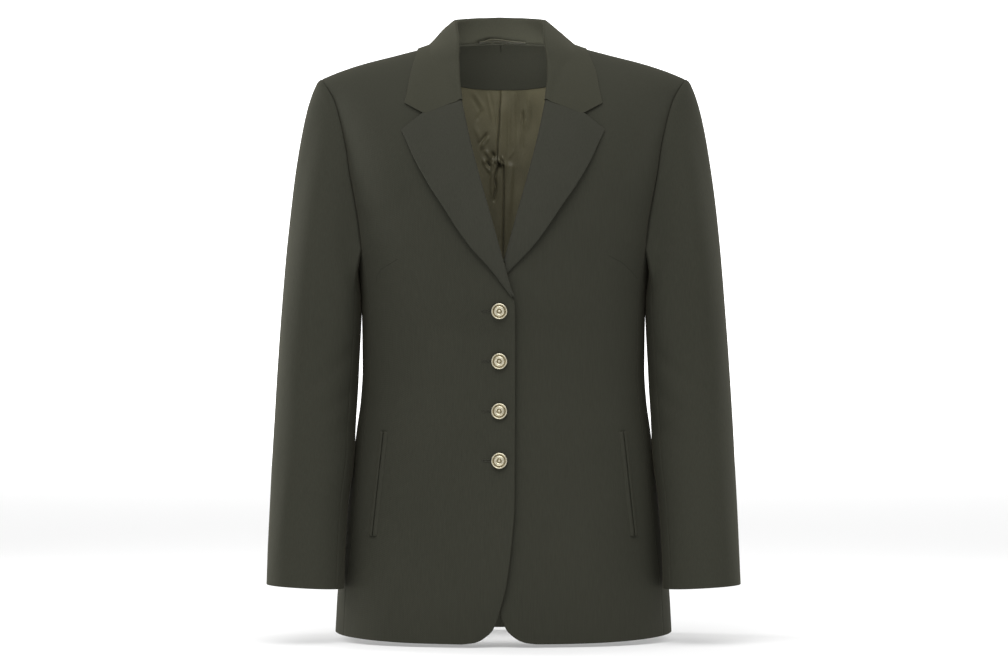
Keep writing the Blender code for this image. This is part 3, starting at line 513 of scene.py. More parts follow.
def add_allowance(outer, inner, normals):
    """Carries the last column on under the piece that it is sewn to."""
    edge = outer[:, -1:]
    onward = unit(edge - outer[:, -4:-3])
    normal = normals[:, -1:]
    extra = [edge + onward * reach - normal * depth for reach, depth in ALLOWANCE]
    under = [place - normal * ALLOWANCE_WALL for place in extra]
    return np.concatenate([outer] + extra, axis=1), np.concatenate([inner] + under, axis=1)


def tuck_under(points, normals, relief):
    """Carries a sleeve's head on past the armhole, in under the body's panels."""
    edge = points[-1:]
    middle = edge.mean(axis=1, keepdims=True)
    inward = unit((middle - edge) * (0.0, 1.0, 1.0))
    extra = [edge + inward * depth - np.array((reach, 0.0, 0.0)) for reach, depth in ALLOWANCE]
    points = np.concatenate([points] + extra)
    normals = np.concatenate([normals] + [-inward] * len(ALLOWANCE))
    flat = np.zeros((len(ALLOWANCE), relief.shape[1]))
    return points, normals, np.concatenate((relief, flat))


def cloth_shell(node_name, material, points, thickness, relief, side=LEFT, seams=(), normals=None,
                allowance=False):
    """A shell whose outer skin is a grid of points moved along its normals by a relief."""
    if normals is None:
        normals = grid_normals(points)
    offset = relief + seam_relief(points, seams)
    skin = draw_back(points + normals * offset[..., None], seams)
    outer, inner = skin, skin - normals * thickness
    if allowance:
        outer, inner = add_allowance(outer, inner, normals)
    return shell(node_name, material, outer, inner, side, seams), skin


def as_tree(grids):
    """A tree of faces from outer grids, each with its side."""
    points, faces = [], []
    for grid, side in grids:
        quads = grid_faces(*grid.shape[:2], len(points))
        points.extend(Vector(p) for p in (grid * (side, 1.0, 1.0)).reshape(-1, 3))
        faces.extend((quads if side == LEFT else quads[:, ::-1]).tolist())
    return BVHTree.FromPolygons(points, faces)


# ---- creases
def crease_relief(across, up, creases):
    """Soft ridges and troughs along straight runs: start, end, width, rise."""
    total = np.zeros(np.broadcast(across, up).shape)
    for across0, up0, across1, up1, width, rise in creases:
        run = (across1 - across0, up1 - up0)
        length = math.hypot(*run)
        along = ((across - across0) * run[0] + (up - up0) * run[1]) / length ** 2
        beside = ((across - across0) * run[1] - (up - up0) * run[0]) / length
        fade = smooth_step(along, -0.15, 0.30) * smooth_step(along, 1.15, 0.70)
        total += rise * bump(beside, width) * fade
    return total


def unevenness(points):
    """The slight waviness of pressed cloth, as a few crossing waves."""
    x, y, z = (points[..., k] for k in range(3))
    waves = (np.sin(37.0 * x + 11.0 * z + 1.3) * np.sin(19.0 * z - 7.0 * x + 0.4)
             + 0.6 * np.sin(71.0 * x - 23.0 * z + 2.1 + 9.0 * y) * np.sin(41.0 * z + 0.9)
             + 0.35 * np.sin(131.0 * x + 17.0 * y + 61.0 * z))
    return RELIEF_OF_WOOL * waves


# On a front: out and height of each end, width, rise; the wearer's left first.
FRONT_CREASES = {
    LEFT: mm(
        (40, -140, 115, -245, 14, 0.8), (90, -160, 150, -215, 12, -0.7),
        (20, -330, 110, -352, 11, -0.5), (50, -372, 130, -405, 13, 0.5),
        (30, -545, 55, -690, 18, 0.9), (85, -520, 95, -690, 16, -0.8),
        (165, -480, 172, -690, 11, 0.8)),
    RIGHT: mm(
        (45, -150, 120, -250, 14, 0.8), (85, -165, 148, -220, 12, -0.7),
        (30, -338, 105, -350, 11, -0.5), (60, -380, 135, -400, 13, 0.5),
        (35, -560, 50, -690, 18, 0.8), (90, -530, 105, -690, 17, -0.9),
        (162, -490, 170, -690, 11, 0.7)),
}
BACK_CREASES = mm(
    (40, -90, 150, -120, 15, -0.8), (150, -110, 165, -230, 11, 1), (70, -350, 150, -372, 11, -0.9),
    (50, -395, 140, -382, 10, 0.6), (60, -540, 75, -695, 19, 1), (130, -520, 140, -695, 17, -0.8))
# On a sleeve: angle in degrees (0 outside, 90 front) and height of each end, width, rise.
SLEEVE_CREASES = mm(
    (150, -360, 70, -420, 10, -1.2), (165, -405, 95, -445, 9, -1),
    (170, -450, 105, -470, 10, -0.7), (30, -300, 50, -420, 14, 0.7), (60, -500, 45, -620, 13, 0.7),
    (-60, -360, -100, -450, 16, 0.8), (-40, -480, -30, -610, 15, -0.6))


# ---- panels
ROW_STEP = 0.0042
COLUMN_STEP = 0.0036
# How long the panels are about, from which their rows and columns are counted.
FRONT_ACROSS = 0.19
BACK_ACROSS = 0.17
SIDE_ACROSS = 0.10
TOP_SLEEVE_ACROSS = 0.33
UNDER_SLEEVE_ACROSS = 0.12
UPPER_RISE = 0.25
CAP_RISE = 0.16
HEM_ROWS = (0.0, 0.0004, 0.0010, 0.0018)                # above the hem
CORNER_ROWS = (HEM + 0.0026, HEM + 0.018, 14)
CUFF_ROWS = (0.0, 0.0005, 0.0012, 0.0025)               # above the cuff


def rows_up(foot, top):
    """Heights of even rows from the last one of a foot to a top."""
    return np.append(foot, np.arange(foot[-1] + ROW_STEP, top - ROW_STEP / 2, ROW_STEP))


def lower_levels(foot_rows):
    """Heights from the hem to the underarm; the front corners need closer rows at the foot."""
    return rows_up(np.concatenate((HEM + np.array(HEM_ROWS), foot_rows)), UNDERARM)


def upper_levels():
    return 1.0 + edged(UPPER_RISE, ROW_STEP, start=False)


ARMHOLE_DIP = 0.0016        # how far the front sinks beside the sleeve, low on the armhole
ARMHOLE_DIP_WIDTH = 0.006
EDGE_STAND = 0.0046         # how far the closing edge stands off the front below
EDGE_STAND_WIDTH = 0.022
# Heights between which each fades out.
EDGE_STAND_TOP = (-0.300, -0.330)
EDGE_STAND_FOOT = (-0.700, -0.640)
ARMHOLE_DIP_TOP = (-0.02, UNDERARM + 0.03)
ARMHOLE_DIP_FOOT = (UNDERARM, UNDERARM + 0.012)


def make_front(word, side):
    levels = np.concatenate((lower_levels(np.linspace(*CORNER_ROWS)), upper_levels()))
    shares = edged(FRONT_ACROSS, COLUMN_STEP)
    points = shifted(front_point(side, shares[None, :], levels[:, None]))
    height = points[..., 2]
    away = edge_distances(points)
    relief = crease_relief(points[..., 0], height, FRONT_CREASES[side]) + unevenness(points)
    if side == RIGHT:
        relief += (EDGE_STAND * bump(away["first_col"], EDGE_STAND_WIDTH)
                   * smooth_step(height, *EDGE_STAND_TOP) * smooth_step(height, *EDGE_STAND_FOOT))
    relief -= (ARMHOLE_DIP * bump(away["last_col"], ARMHOLE_DIP_WIDTH)
               * smooth_step(height, *ARMHOLE_DIP_TOP) * smooth_step(height, *ARMHOLE_DIP_FOOT))
    return cloth_shell("front_" + word, "worsted_front_" + word, points, CLOTH, relief, side,
                       ("last_row", "last_col"), allowance=True)


def plain_levels():
    return np.concatenate((lower_levels((HEM + 0.0030,)), upper_levels()))


def make_back(word, side):
    shares = edged(BACK_ACROSS, COLUMN_STEP)[::-1]
    points = shifted(back_point(shares[None, :], plain_levels()[:, None]))
    relief = crease_relief(points[..., 0], points[..., 2], BACK_CREASES)
    relief += unevenness(points * (side, 1.0, 1.0))
    return cloth_shell("back_" + word, "worsted", points, CLOTH, relief, side,
                       ("last_row", "first_col", "last_col"), allowance=side == LEFT)


def make_side(word, side):
    heights = plain_levels()
    heights = np.append(heights[heights < 0], UNDERARM)
    turns = mix(-seam_turn(FRONT_SEAM_RATIO), seam_turn(BACK_SEAM_RATIO),
                edged(SIDE_ACROSS, COLUMN_STEP))
    points = shifted(side_point(turns[None, :], heights[:, None]))
    return cloth_shell("side_" + word, "worsted", points, CLOTH, unevenness(points),
                       side, ("first_col", "last_col"))


SLEEVE_HEAD_RISE = 0.0007
FACING_BODY = (95.0, 150.0)         # degrees from the outside to where a sleeve faces the body
# Where a sleeve fills out towards the body: height, half the stretch, rise.
SLEEVE_FILLS = mm(
    (-300, 62, 3.4), (-500, 34, 1.8))


def make_sleeve(word, side):
    """Both pieces of a sleeve, cut from one tube at the front and back seams."""
    top = edged(TOP_SLEEVE_ACROSS, COLUMN_STEP)
    under = edged(UNDER_SLEEVE_ACROSS, COLUMN_STEP)
    angles = np.concatenate((mix(-BACK_CORNER, FRONT_CORNER, top),
                             mix(FRONT_CORNER, 360.0 - BACK_CORNER, under)[1:-1]))
    heights = rows_up(CUFF + np.array(CUFF_ROWS), BICEP)
    cap = edged(CAP_RISE, ROW_STEP, start=False)
    ring = sleeve_ring_point(angles[None, :], heights[:, None])
    above = sleeve_cap_point(*np.broadcast_arrays(angles[None, :], cap[:, None]))
    points = shifted(np.concatenate((ring, above))[:, ::-1])
    turn = half_turned(angles[::-1])[None, :]
    away, height = np.abs(turn), points[..., 2]
    head = edge_distances(points)["last_row"]
    over = SLEEVE_HEAD_RISE * bump(head - 0.006, 0.005) * smooth_step(away, 100.0, 50.0)
    relief = (crease_relief(turn / 1000.0, height, SLEEVE_CREASES) + over
              + unevenness(points * (side, 1.0, 1.0)) - SEAM_DIP * bump(head, SEAM_HALF))
    for middle, half, rise in SLEEVE_FILLS:
        relief += rise * bump(height - middle, half) * smooth_step(away, *FACING_BODY)
    whole = [np.concatenate((grid[:, -1:], grid), axis=1)
             for grid in tuck_under(points, grid_normals(points, wraps=True), relief)]
    split = len(angles) - len(top)
    pieces = []
    for name, first, last in (("under", 0, split + 2), ("top", split + 1, len(angles) + 1)):
        points, normals, relief = (grid[:, first:last] for grid in whole)
        piece, _ = cloth_shell(name + "_sleeve_" + word, "worsted", points,
                               SLEEVE_CLOTH, relief, side, ("first_col", "last_col"), normals)
        pieces.append(piece)
    return pieces


# ---- lapels
LAPEL_ROWS = 84
FOLD_STEPS = 9
BACKWARD = Vector((0.0, 1.0, 0.0))
INSIDE_EDGE = 0.0005        # from a front's cut edge to where its surface is sure to be met
FOOT_GAP = 0.0001
FOLD_GAP = 0.0004
FOLD_PAST = 0.0006          # from the fold's end to the lapel's first column
LATEST_START = 0.6          # of a short row, where that column lies at the latest


def fold_arc(start, onward, turn, radius):
    """A half circle that starts at a place, bulges onward and comes back turned over."""
    middle = start + turn * radius
    return [middle + (onward * math.sin(a) - turn * math.cos(a)) * radius
            for a in np.linspace(0.0, math.pi, FOLD_STEPS)]


def lapel_ends(share, side):
    """Height and out of a row's ends, on the roll line and on the outer edge."""
    fold_foot, edge_foot = (BREAK, BREAK) if side == RIGHT else LEFT_LAPEL_FOOT
    roll_height = mix(fold_foot, GORGE, share)
    edge_height = mix(edge_foot, LAPEL_EDGE[-1][0], share)
    out = read(LAPEL_EDGE, edge_height)
    if side == LEFT:
        out = out - read(LEFT_LAPEL_SHIFT, edge_height)
    return (roll_height, read(ROLL_LINE, roll_height)), (edge_height, out)


def corner_bend(share):
    """How far a row is drawn to the notch: all the way at the last one."""
    return (share / LAST_ROW) ** 8


def bent_row(start, corner, end, share, bend):
    """A place on the row from start to end, drawn towards a corner by bend."""
    start, corner, end = map(np.array, (start, corner, end))
    if share < NOTCH_SHARE:
        bent = mix(start, corner, share / NOTCH_SHARE)
    else:
        bent = mix(corner, end, (share - NOTCH_SHARE) / (1.0 - NOTCH_SHARE))
    return mix(mix(start, end, share), bent, bend)


def front_depth(skin, out, height, side):
    """The front's outer surface under a place seen from the front, carried on past its edge."""
    for beyond in np.arange(24) * 0.0008:
        place, normal, _, _ = skin.ray_cast(Vector(((out + beyond) * side, -0.5, height)), BACKWARD)
        if place is not None:
            return place - Vector((beyond * side, 0.0, 0.0)), normal
    raise ValueError("no cloth under this place")


LAPEL_SPREAD = np.concatenate((np.linspace(0.05, 0.95, 24), (0.97, 0.985, 0.994, 1.0)))


def lapel_lift(share, along=1.0):
    """Height of a lapel's middle above the front: across it from fold to edge, and up it."""
    rolled = LAPEL_ROLL * arch(min(along, 1.0)) * share
    return LAPEL_CLEARANCE + LAPEL_LIFT * arch(min(share * 1.02, 1.0)) ** 0.7 + rolled


def lapel_row(skin, share, side):
    """Centre points of a lapel's row: along the front's cut edge, round the fold, to its edge."""
    roll, edge = lapel_ends(share, side)
    bend = corner_bend(share)
    cut = float(edge_out(roll[0], side))
    place, normal = front_depth(skin, cut + INSIDE_EDGE, roll[0], side)
    place.x = cut * side
    inward = Vector((-side, 0.0, 0.0))
    foot = place - normal * (CLOTH / 2) + inward * (SEAM_GAP + FOOT_GAP)
    row = [foot] + fold_arc(foot + inward * FOLD_GAP, inward, normal, LAPEL_FOLD_RADIUS)
    first = min((FOLD_MARGIN + FOLD_PAST) / (edge[1] - roll[1]), LATEST_START)
    for at in mix(first, 1.0, LAPEL_SPREAD):
        height, out = bent_row(roll, NOTCH_CORNER, edge, at, bend)
        place, normal = front_depth(skin, out, height - bend * SEWN_GAP, side)
        row.append(place + normal * lapel_lift(at, share))
    return row


def rows_to_last(first, count):
    """Even rows with a narrow last one, which keeps a seam's shading narrow."""
    return np.append(np.linspace(first, LAST_ROW - EDGE_ROW, count), LAST_ROW)


def as_grid(rows):
    return np.array([[tuple(p) for p in row] for row in rows])


def centred_shell(node_name, material, centre, thickness, side=LEFT, seams=()):
    """A shell of even thickness round a grid of centre points."""
    points = centre * (side, 1.0, 1.0)
    half = grid_normals(points) * (thickness / 2)
    return shell(node_name, material, points + half, points - half, side, seams)


def make_lapel(word, side, skin):
    first = RIGHT_LAPEL_START if side == RIGHT else 0.0
    centre = as_grid([lapel_row(skin, share, side) for share in rows_to_last(first, LAPEL_ROWS)])
    return centred_shell("lapel_" + word, "lapel_cloth", centre, LAPEL_WALL, side,
                         ("last_row",))


# ---- collar
COLLAR_HALF_STATIONS = 80
NEAR_SKIN = 0.03            # a collar point further from the body than this is clear of it
FALL_SHARES = np.concatenate((np.linspace(0.06, 0.94, 20), (0.965, 0.985, 1.0)))


def half_neckline():
    """The body's neckline from the centre back to the gorge: stations, points and normals."""
    back = np.linspace(0.0, SHOULDER_STATION, 120)
    out = NECK_OUT * np.sin(back / SHOULDER_STATION * math.pi / 2.0)
    run = neckline_run(out)
    across = out / upper_point(1.0, run, False)[..., 0]
    along = upper_point(across + 0.01, run, False) - upper_point(across - 0.01, run, False)
    low = np.minimum(run, 0.99)
    up = upper_point(across, low, False) - upper_point(across, low - 0.01, False)
    levels = np.linspace(1.004, 2.0, 600)
    edge = front_point(LEFT, 0.0, levels)
    normals = np.cross(front_point(LEFT, 0.02, levels) - edge, np.gradient(edge, axis=0))
    front = np.linspace(SHOULDER_STATION, 1.0, 120)[1:]
    share = (front - SHOULDER_STATION) / (1.0 - SHOULDER_STATION)
    ahead, ahead_normals = (interpolated(mix(ROLL_LINE[-1][0], GORGE, share), edge[:, 2], grid)
                            for grid in (edge, unit(normals)))
    return (np.concatenate((back, front)),
            np.concatenate((upper_point(across, run, False), ahead)),
            np.concatenate((unit(np.cross(up, along)), unit(ahead_normals))))


def lift_off(skin, point, clearance, press):
    """Moves a point out until it clears the skin, and presses it down to that clearance."""
    place, normal, _, distance = skin.find_nearest(point)
    height = (point - place).dot(normal)
    near = height < clearance and distance < NEAR_SKIN
    clear = point + normal * (clearance - height) if near else point
    if press == 0.0:
        return clear
    place, normal = front_depth(skin, point.x, point.z, LEFT)
    return clear.lerp(place + normal * clearance, press)


STAND_STEPS = 9
COLLAR_SWELL = 0.0006
COLLAR_CLEARANCE = 0.0012   # of the fall's middle above the body at its edges
COLLAR_LIFT = 0.0016        # more of it, halfway down the fall
GORGE_LAP = 0.0020          # how far the collar's end laps down over the lapel's top
GORGE_STEP = 0.00012        # how much higher than the lapel it lies there
LAP_SHARES = (0.66, 0.56)   # down the fall, where the lap ends short of the notch
FRONT_STATIONS = (0.60, 1.0)        # the collar comes to lie on the front between these
PRESS_STATIONS = (0.82, 0.98)       # and is pressed down to it between these
PRESS_SHARES = (0.0, 0.25)
COLLAR_LEAN = 0.0042        # how far the collar leans towards the wearer's right at its top


def collar_row(skin, station, neckline):
    """Centre points of the collar's section: up the stand, over the fold, down the fall."""
    neck, normal = (Vector(interpolated(station, neckline[0], grid)) for grid in neckline[1:])
    normal.normalize()
    fold, edge = (Vector([read(COLLAR_STATIONS, station, k) for k in columns])
                  for columns in ((1, 2, 3), (4, 5, 6)))
    fold += neck
    front_share = float(smooth_step(station, *FRONT_STATIONS))
    onward = (fold - neck).normalized().lerp(Vector((-1.0, 0.0, 0.0)), front_share).normalized()
    outward = Vector((edge.x - fold.x, edge.y - fold.y, 0.0)).normalized()
    turn = outward.lerp(normal, front_share)
    turn = (turn - onward * turn.dot(onward)).normalized()
    depth = normal * (CLOTH / 2 * front_share)
    foot = neck - depth + onward * SEWN_GAP
    start = fold - depth + onward * (SEWN_GAP + 0.0002)
    row = [foot.lerp(start, k / STAND_STEPS) for k in range(STAND_STEPS)]
    row += fold_arc(start, onward, turn, COLLAR_FOLD_RADIUS)
    after = row[-1]
    bend = corner_bend(station)
    for share in FALL_SHARES:
        place = after.lerp(edge, share)
        place.z, place.x = bent_row((after.z, after.x), NOTCH_CORNER, (edge.z, edge.x), share, bend)
        lap = GORGE_LAP * min(share * 12.0, 1.0) * float(smooth_step(share, *LAP_SHARES))
        place.z -= bend * lap
        swell = COLLAR_SWELL * arch(share) * (1.0 - front_share)
        place += outward * swell + Vector((0.0, 0.0, swell))
        lift = mix(COLLAR_CLEARANCE + COLLAR_LIFT * arch(share), lapel_lift(share) + GORGE_STEP,
                   front_share)
        press = smooth_step(station, *PRESS_STATIONS) * smooth_step(share, *PRESS_SHARES)
        row.append(lift_off(skin, place, lift, float(press)))
    return row


def make_collar(skin):
    neckline = half_neckline()
    left = as_grid([collar_row(skin, station, neckline)
                    for station in rows_to_last(0.0, COLLAR_HALF_STATIONS)])
    whole = np.concatenate((left[::-1], left[1:] * (RIGHT, 1.0, 1.0)))
    x, height = whole[..., 0], whole[..., 2]
    lean = mix(smooth_step(height, 0.0, 0.022), smooth_step(height, -0.045, 0.012),
               smooth_step(x, -0.03, 0.03))
    whole[..., 0] -= COLLAR_LEAN * lean * np.minimum(np.arange(whole.shape[1]) / STAND_STEPS, 1.0)
    return centred_shell("collar", "collar_cloth", whole, COLLAR_WALL,
                         seams=("first_row", "last_row")), whole


# ---- inside of the back
LINING_DEPTH = CLOTH + 0.0035
# The pleat's fold: height, x. It jumps sideways where it is caught down.
PLEAT_LINE = mm(
    (-700, 1), (-240, 0.8), (-141, 1.6), (-134, -6.8), (-90, -4.6), (-46, -2.2))
FACING_FOOT = -0.0457
PLEAT_TACK = -0.136         # height at which the centre pleat is caught down
# Wrinkles of the lining: x and height of each end, width, rise.
LINING_CREASES = mm(
    (-40.2, -54.8, -27.8, -75.9, 2.6, -0.7), (-37.4, -49, -23.9, -70.1, 2.2, 0.7),
    (-25.8, -72, -33.5, -85.5, 2.2, -1.1), (-20.1, -49, -12.4, -87.4, 2.6, 1),
    (-16.2, -52.8, -9.5, -95.1, 1.8, -1), (-20.1, -100.8, -29.7, -114.3, 1.8, -3.1),
    (-18.2, -104.7, -27.8, -119.1, 2, 1.5), (-35.4, -91.2, -22, -123.9, 3, 1.1),
    (-22, -122, -13.4, -133.5, 2, 2.2), (-13.4, -123.9, -10.5, -131.6, 1.5, -3.6),
    (-21, -135.4, -15.3, -143.1, 2.6, -4.8), (-25.8, -131.6, -16.2, -148.8, 2, 2.2),
    (-12.4, -133.5, -15.3, -145, 1.6, 2.3), (-7.6, -129.6, -1.8, -141.2, 1.2, 2.4),
    (-4.7, -129.6, 1, -140.2, 1.1, -2.2), (-1.8, -128.7, 3.9, -138.3, 1.3, 1.9),
    (-7, -142.1, -10.5, -154.6, 1.3, -4.3), (-10.5, -154.6, -9.3, -167.1, 1.3, -4.3),
    (-9.3, -167.1, -11.9, -183.4, 1.3, -3.9), (-13.4, -143.1, -14.3, -179.6, 2.2, 1.9),
    (-5.7, -145, -6.6, -183.4, 1.8, 1), (6.8, -131.6, 12.6, -120, 1.8, 1.1),
    (24.1, -74, 24.1, -88.4, 1.4, -2.3), (26, -66.3, 27, -97, 1.8, 1.4),
    (22.2, -85.5, 23.1, -125.8, 2.2, -1.1), (10.6, -49, 13.5, -135.4, 3, 1.1),
    (16.4, -49, 17.4, -106.6, 2.2, -0.9), (31.8, -50.9, 29.8, -97, 2.6, 1.1),
    (6.8, -77.8, 5.8, -125.8, 1.8, -0.9), (10.6, -135.4, 6.8, -202.6, 2.6, 1.1),
    (-80, -100, -50, -200, 8, 1.6), (85, -110, 55, -220, 8, 1.6), (-60, -300, -55, -640, 12, 1.6),
    (65, -320, 50, -650, 11, 1.6), (-110, -340, -115, -650, 12, -1.4),
    (112, -330, 118, -640, 12, -1.4))
FACING_DEPTHS = (LINING_DEPTH + 0.0016, 0.0030)         # at its foot and at the neck
FACING_WALL = 0.0012
FACING_OVERLAP = 0.03       # of the back shell's run, lining behind the facing
LINING_STEP = 0.008
LINING_WAVE = 0.0008
LINING_WAVE_LENGTH = 0.0085
PLEAT_FOLD = 0.0034
PLEAT_CREASE = 0.0022
TACK_RISE = 0.0024
TACK_DIP = 0.0026
LINING_FINE = 0.22          # share up to which the lining's columns are close


def inside_back(shares, levels, depth_in):
    """Places inside the back panels, this deep below their outer surface."""
    shares, levels = np.broadcast_arrays(shares, levels)
    points = back_point(np.abs(shares), levels)
    points[..., 0] *= np.where(shares < 0, -1.0, 1.0)
    return points + grid_normals(points) * depth_in


def make_neck_facing():
    levels = 1.0 + mix(FACING_RUN, 1.0, edged(0.06, 0.0025))
    shares = FACING_SHARE * (2.0 * edged(0.16, 0.0025) - 1.0)
    depth = mix(*FACING_DEPTHS, smooth_step(levels, 1.76, 2.0))
    points = inside_back(shares[None, :], levels[:, None], depth[:, None, None])
    return shell("back_neck_facing", "worsted", points,
                 points - grid_normals(points) * FACING_WALL)


def lining_relief(x, height):
    """The centre pleat, caught down at its tack, and the wrinkles round it."""
    beside, above = x - read(PLEAT_LINE, height), height - PLEAT_TACK
    fold = PLEAT_FOLD * smooth_step(beside, -0.0012, 0.0008) * bump(np.maximum(beside, 0.0), 0.009)
    crease = -PLEAT_CREASE * bump(beside + 0.0014, 0.0012)
    tack = (TACK_RISE * bump(beside + 0.002, 0.005) * bump(above, 0.006)
            - TACK_DIP * bump(beside + 0.008, 0.004) * bump(above - 0.004, 0.007))
    waves = (LINING_WAVE * np.cos(x / LINING_WAVE_LENGTH + 6.0 * height)
             * smooth_step(np.abs(x), 0.010, 0.04))
    loose = (fold + tack + waves) * smooth_step(height, FACING_FOOT + 0.002, FACING_FOOT - 0.030)
    creases = crease_relief(x, height, LINING_CREASES)
    return loose + (crease + creases) * smooth_step(height, FACING_FOOT, FACING_FOOT - 0.012)


def make_lining():
    seen = np.linspace(-LINING_FINE, LINING_FINE, 121)
    sides = np.linspace(LINING_FINE, LINING_EDGE_SHARE, 38)[1:]
    shares = np.concatenate((-sides[::-1], seen, sides))
    levels = np.concatenate((np.arange(LINING_FOOT, UNDERARM - 0.003, LINING_STEP),
                             1.0 + np.linspace(0.0, FACING_RUN + FACING_OVERLAP, 120)))
    points = inside_back(shares[None, :], levels[:, None], LINING_DEPTH)
    relief = lining_relief(points[..., 0], points[..., 2])
    points = points + grid_normals(points) * relief[..., None]
    return centred_shell("back_lining", "satin", points, LINING)


LOOP_OFF = 0.0014
LOOP_WALL = 0.001
LOOP_HALF_WIDTH = 0.0036
# The hanger loop's middle line: x, height, how far it stands off, half its width as seen.
LOOP_LINE = mm(
    (-29.2, 5.8, 0.6, 0.4), (-23, 6.8, 1.4, 0.5), (-13, 9, 2.4, 0.8), (-3, 8.4, 2.6, 0.7),
    (8, 6.8, 2.2, 0.6), (18, 6, 1.2, 0.5), (26.2, 5.6, 0.6, 0.4))


def make_hanger_loop(skin):
    """A narrow strap caught in the neck seam at both ends, bowing away between them."""
    rows = []
    for across in np.linspace(-1.0, 1.0, 9):
        row = []
        for x in np.linspace(LOOP_LINE[0][0], LOOP_LINE[-1][0], 81):
            height, off, half = (float(read(LOOP_LINE, x, k)) for k in (1, 2, 3))
            place, _, _, _ = skin.ray_cast(Vector((x, 0.0, height)), BACKWARD)
            depth = place.y - LOOP_OFF - off - LOOP_HALF_WIDTH * (1.0 + across)
            row.append((x, depth, height + half * across))
        rows.append(row)
    return centred_shell("hanger_loop", "loop_satin", np.array(rows), LOOP_WALL)


# ---- pockets, buttons, buttonholes
SLIT_HALF = 0.0008
WELT_SEEN = 0.0044          # width left to see: the outer edge is pressed into the seam
WELT_SINK = 0.0012
WELT_CROWN = 0.0004


def make_welt(word, side, skin, place_word, towards):
    """One welt of a slanted jetted pocket, crowned between the slit and its seam."""
    near, far = (SLIT_HALF, WELT_SEEN) if towards > 0 else (-WELT_SEEN, -SLIT_HALF)
    rows = []
    for share in np.linspace(0.0, 1.0, 60):
        height, out = mix(np.array(POCKET_FOOT), np.array(POCKET_TOP), share)
        row = []
        for part in np.linspace(0.0, 1.0, 13):
            place, normal = front_depth(skin, out + mix(near, far, part), height, side)
            away = part if towards > 0 else 1.0 - part
            sunk = WELT_SINK * float(smooth_step(away, 0.35, 1.0))
            row.append(place + normal * (SEAM_GAP + WELT_WALL / 2 + WELT_CROWN * arch(part) - sunk))
        rows.append(row)
    return centred_shell("welt_" + word + "_" + place_word, "worsted", as_grid(rows),
                         WELT_WALL, side)


# Button from its middle out: radius as a share of the button's, height above its seat.
BUTTON_PROFILE = mm(
    (0, 3.45), (0.08, 3.5), (0.14, 3.25), (0.19, 2.35), (0.235, 2.15), (0.28, 2.5), (0.34, 3.45),
    (0.42, 3.9), (0.52, 3.95), (0.6, 3.6), (0.65, 2.7), (0.69, 2), (0.735, 1.9), (0.78, 2.3),
    (0.83, 3.3), (0.89, 3.75), (0.945, 3.5), (0.985, 2.8), (1, 2.2), (0.985, 1.65), (0.9, 1.15),
    (0.6, 0.85), (0.3, 0.8), (0.28, 0.05), (0, 0.03), plain=(0,))
BUTTON_TURNS = 96
# Stretches of the button's radius, and its edge and underside, that take a darker gold as painted
# shade.
BUTTON_HOLLOWS = ((0.175, 0.275), (0.670, 0.765))
BUTTON_EDGE = 0.97


def ring_faces(rows, columns):
    """The four corners of each face of a grid that closes on itself both ways."""
    index = np.arange(rows * columns).reshape(rows, columns)
    down = np.roll(index, -1, axis=0)
    return np.stack((index, down, np.roll(down, -1, axis=1), np.roll(index, -1, axis=1)), -1)


def make_button(number, height, skin):
    """A turned metal button; its rings follow a smooth curve through the profile, and its hollows,
    edge and underside take a darker gold as painted shade.
    """
    table = [(k, *row) for k, row in enumerate(BUTTON_PROFILE)]
    fine = np.linspace(0, len(table) - 1, 3 * (len(table) - 1) + 1)
    radius, rise = read(table, fine, 1) * BUTTON_RADIUS, read(table, fine, 2)
    turn = np.linspace(0.0, 2.0 * math.pi, BUTTON_TURNS, endpoint=False)
    seat, normal = front_depth(skin, -CLOSING_LINE, height, RIGHT)
    across = Vector((1.0, 0.0, 0.0)).cross(normal).normalized()
    axes = np.array([tuple(axis) for axis in (normal.cross(across), across, normal)])
    local = points_of(radius[:, None] * np.cos(turn), radius[:, None] * np.sin(turn), rise[:, None])
    world = local.reshape(-1, 3) @ axes + np.array(seat + normal * (SEAM_GAP + 0.00005))
    faces = ring_faces(len(fine), BUTTON_TURNS)[:-1].reshape(-1, 4)
    item = new_object("button_" + str(number) + "_turned", world, faces, "pale_gold")
    item.data.materials.append(MATERIALS["gold_painted_shade"])
    share = (radius[:-1] + radius[1:]) / (2.0 * BUTTON_RADIUS)
    shaded = (share > BUTTON_EDGE) | (np.arange(len(share)) > np.argmax(share))
    for low, high in BUTTON_HOLLOWS:
        shaded |= (share > low) & (share < high)
    item.data.polygons.foreach_set("material_index", np.repeat(shaded, BUTTON_TURNS).astype(np.int32))
    weld(item)
    return item


def weld(item):
    """Joins the middle points of a turned shape, and drops its empty faces."""
    bm = bmesh.new()
    bm.from_mesh(item.data)
    bmesh.ops.remove_doubles(bm, verts=bm.verts, dist=0.000002)
    bmesh.ops.recalc_face_normals(bm, faces=bm.faces)
    bm.to_mesh(item.data)
    bm.free()
    item.data.shade_smooth()


BUTTONHOLE = (-0.0237, 0.0005)      # x of its outer and inner end
BUTTONHOLE_HALF = 0.0011
STITCH_PITCH = 0.00062
STITCH_HALF = 0.00042
STITCH_RIDGE = 0.00013
STITCH_SPREAD = 1.7


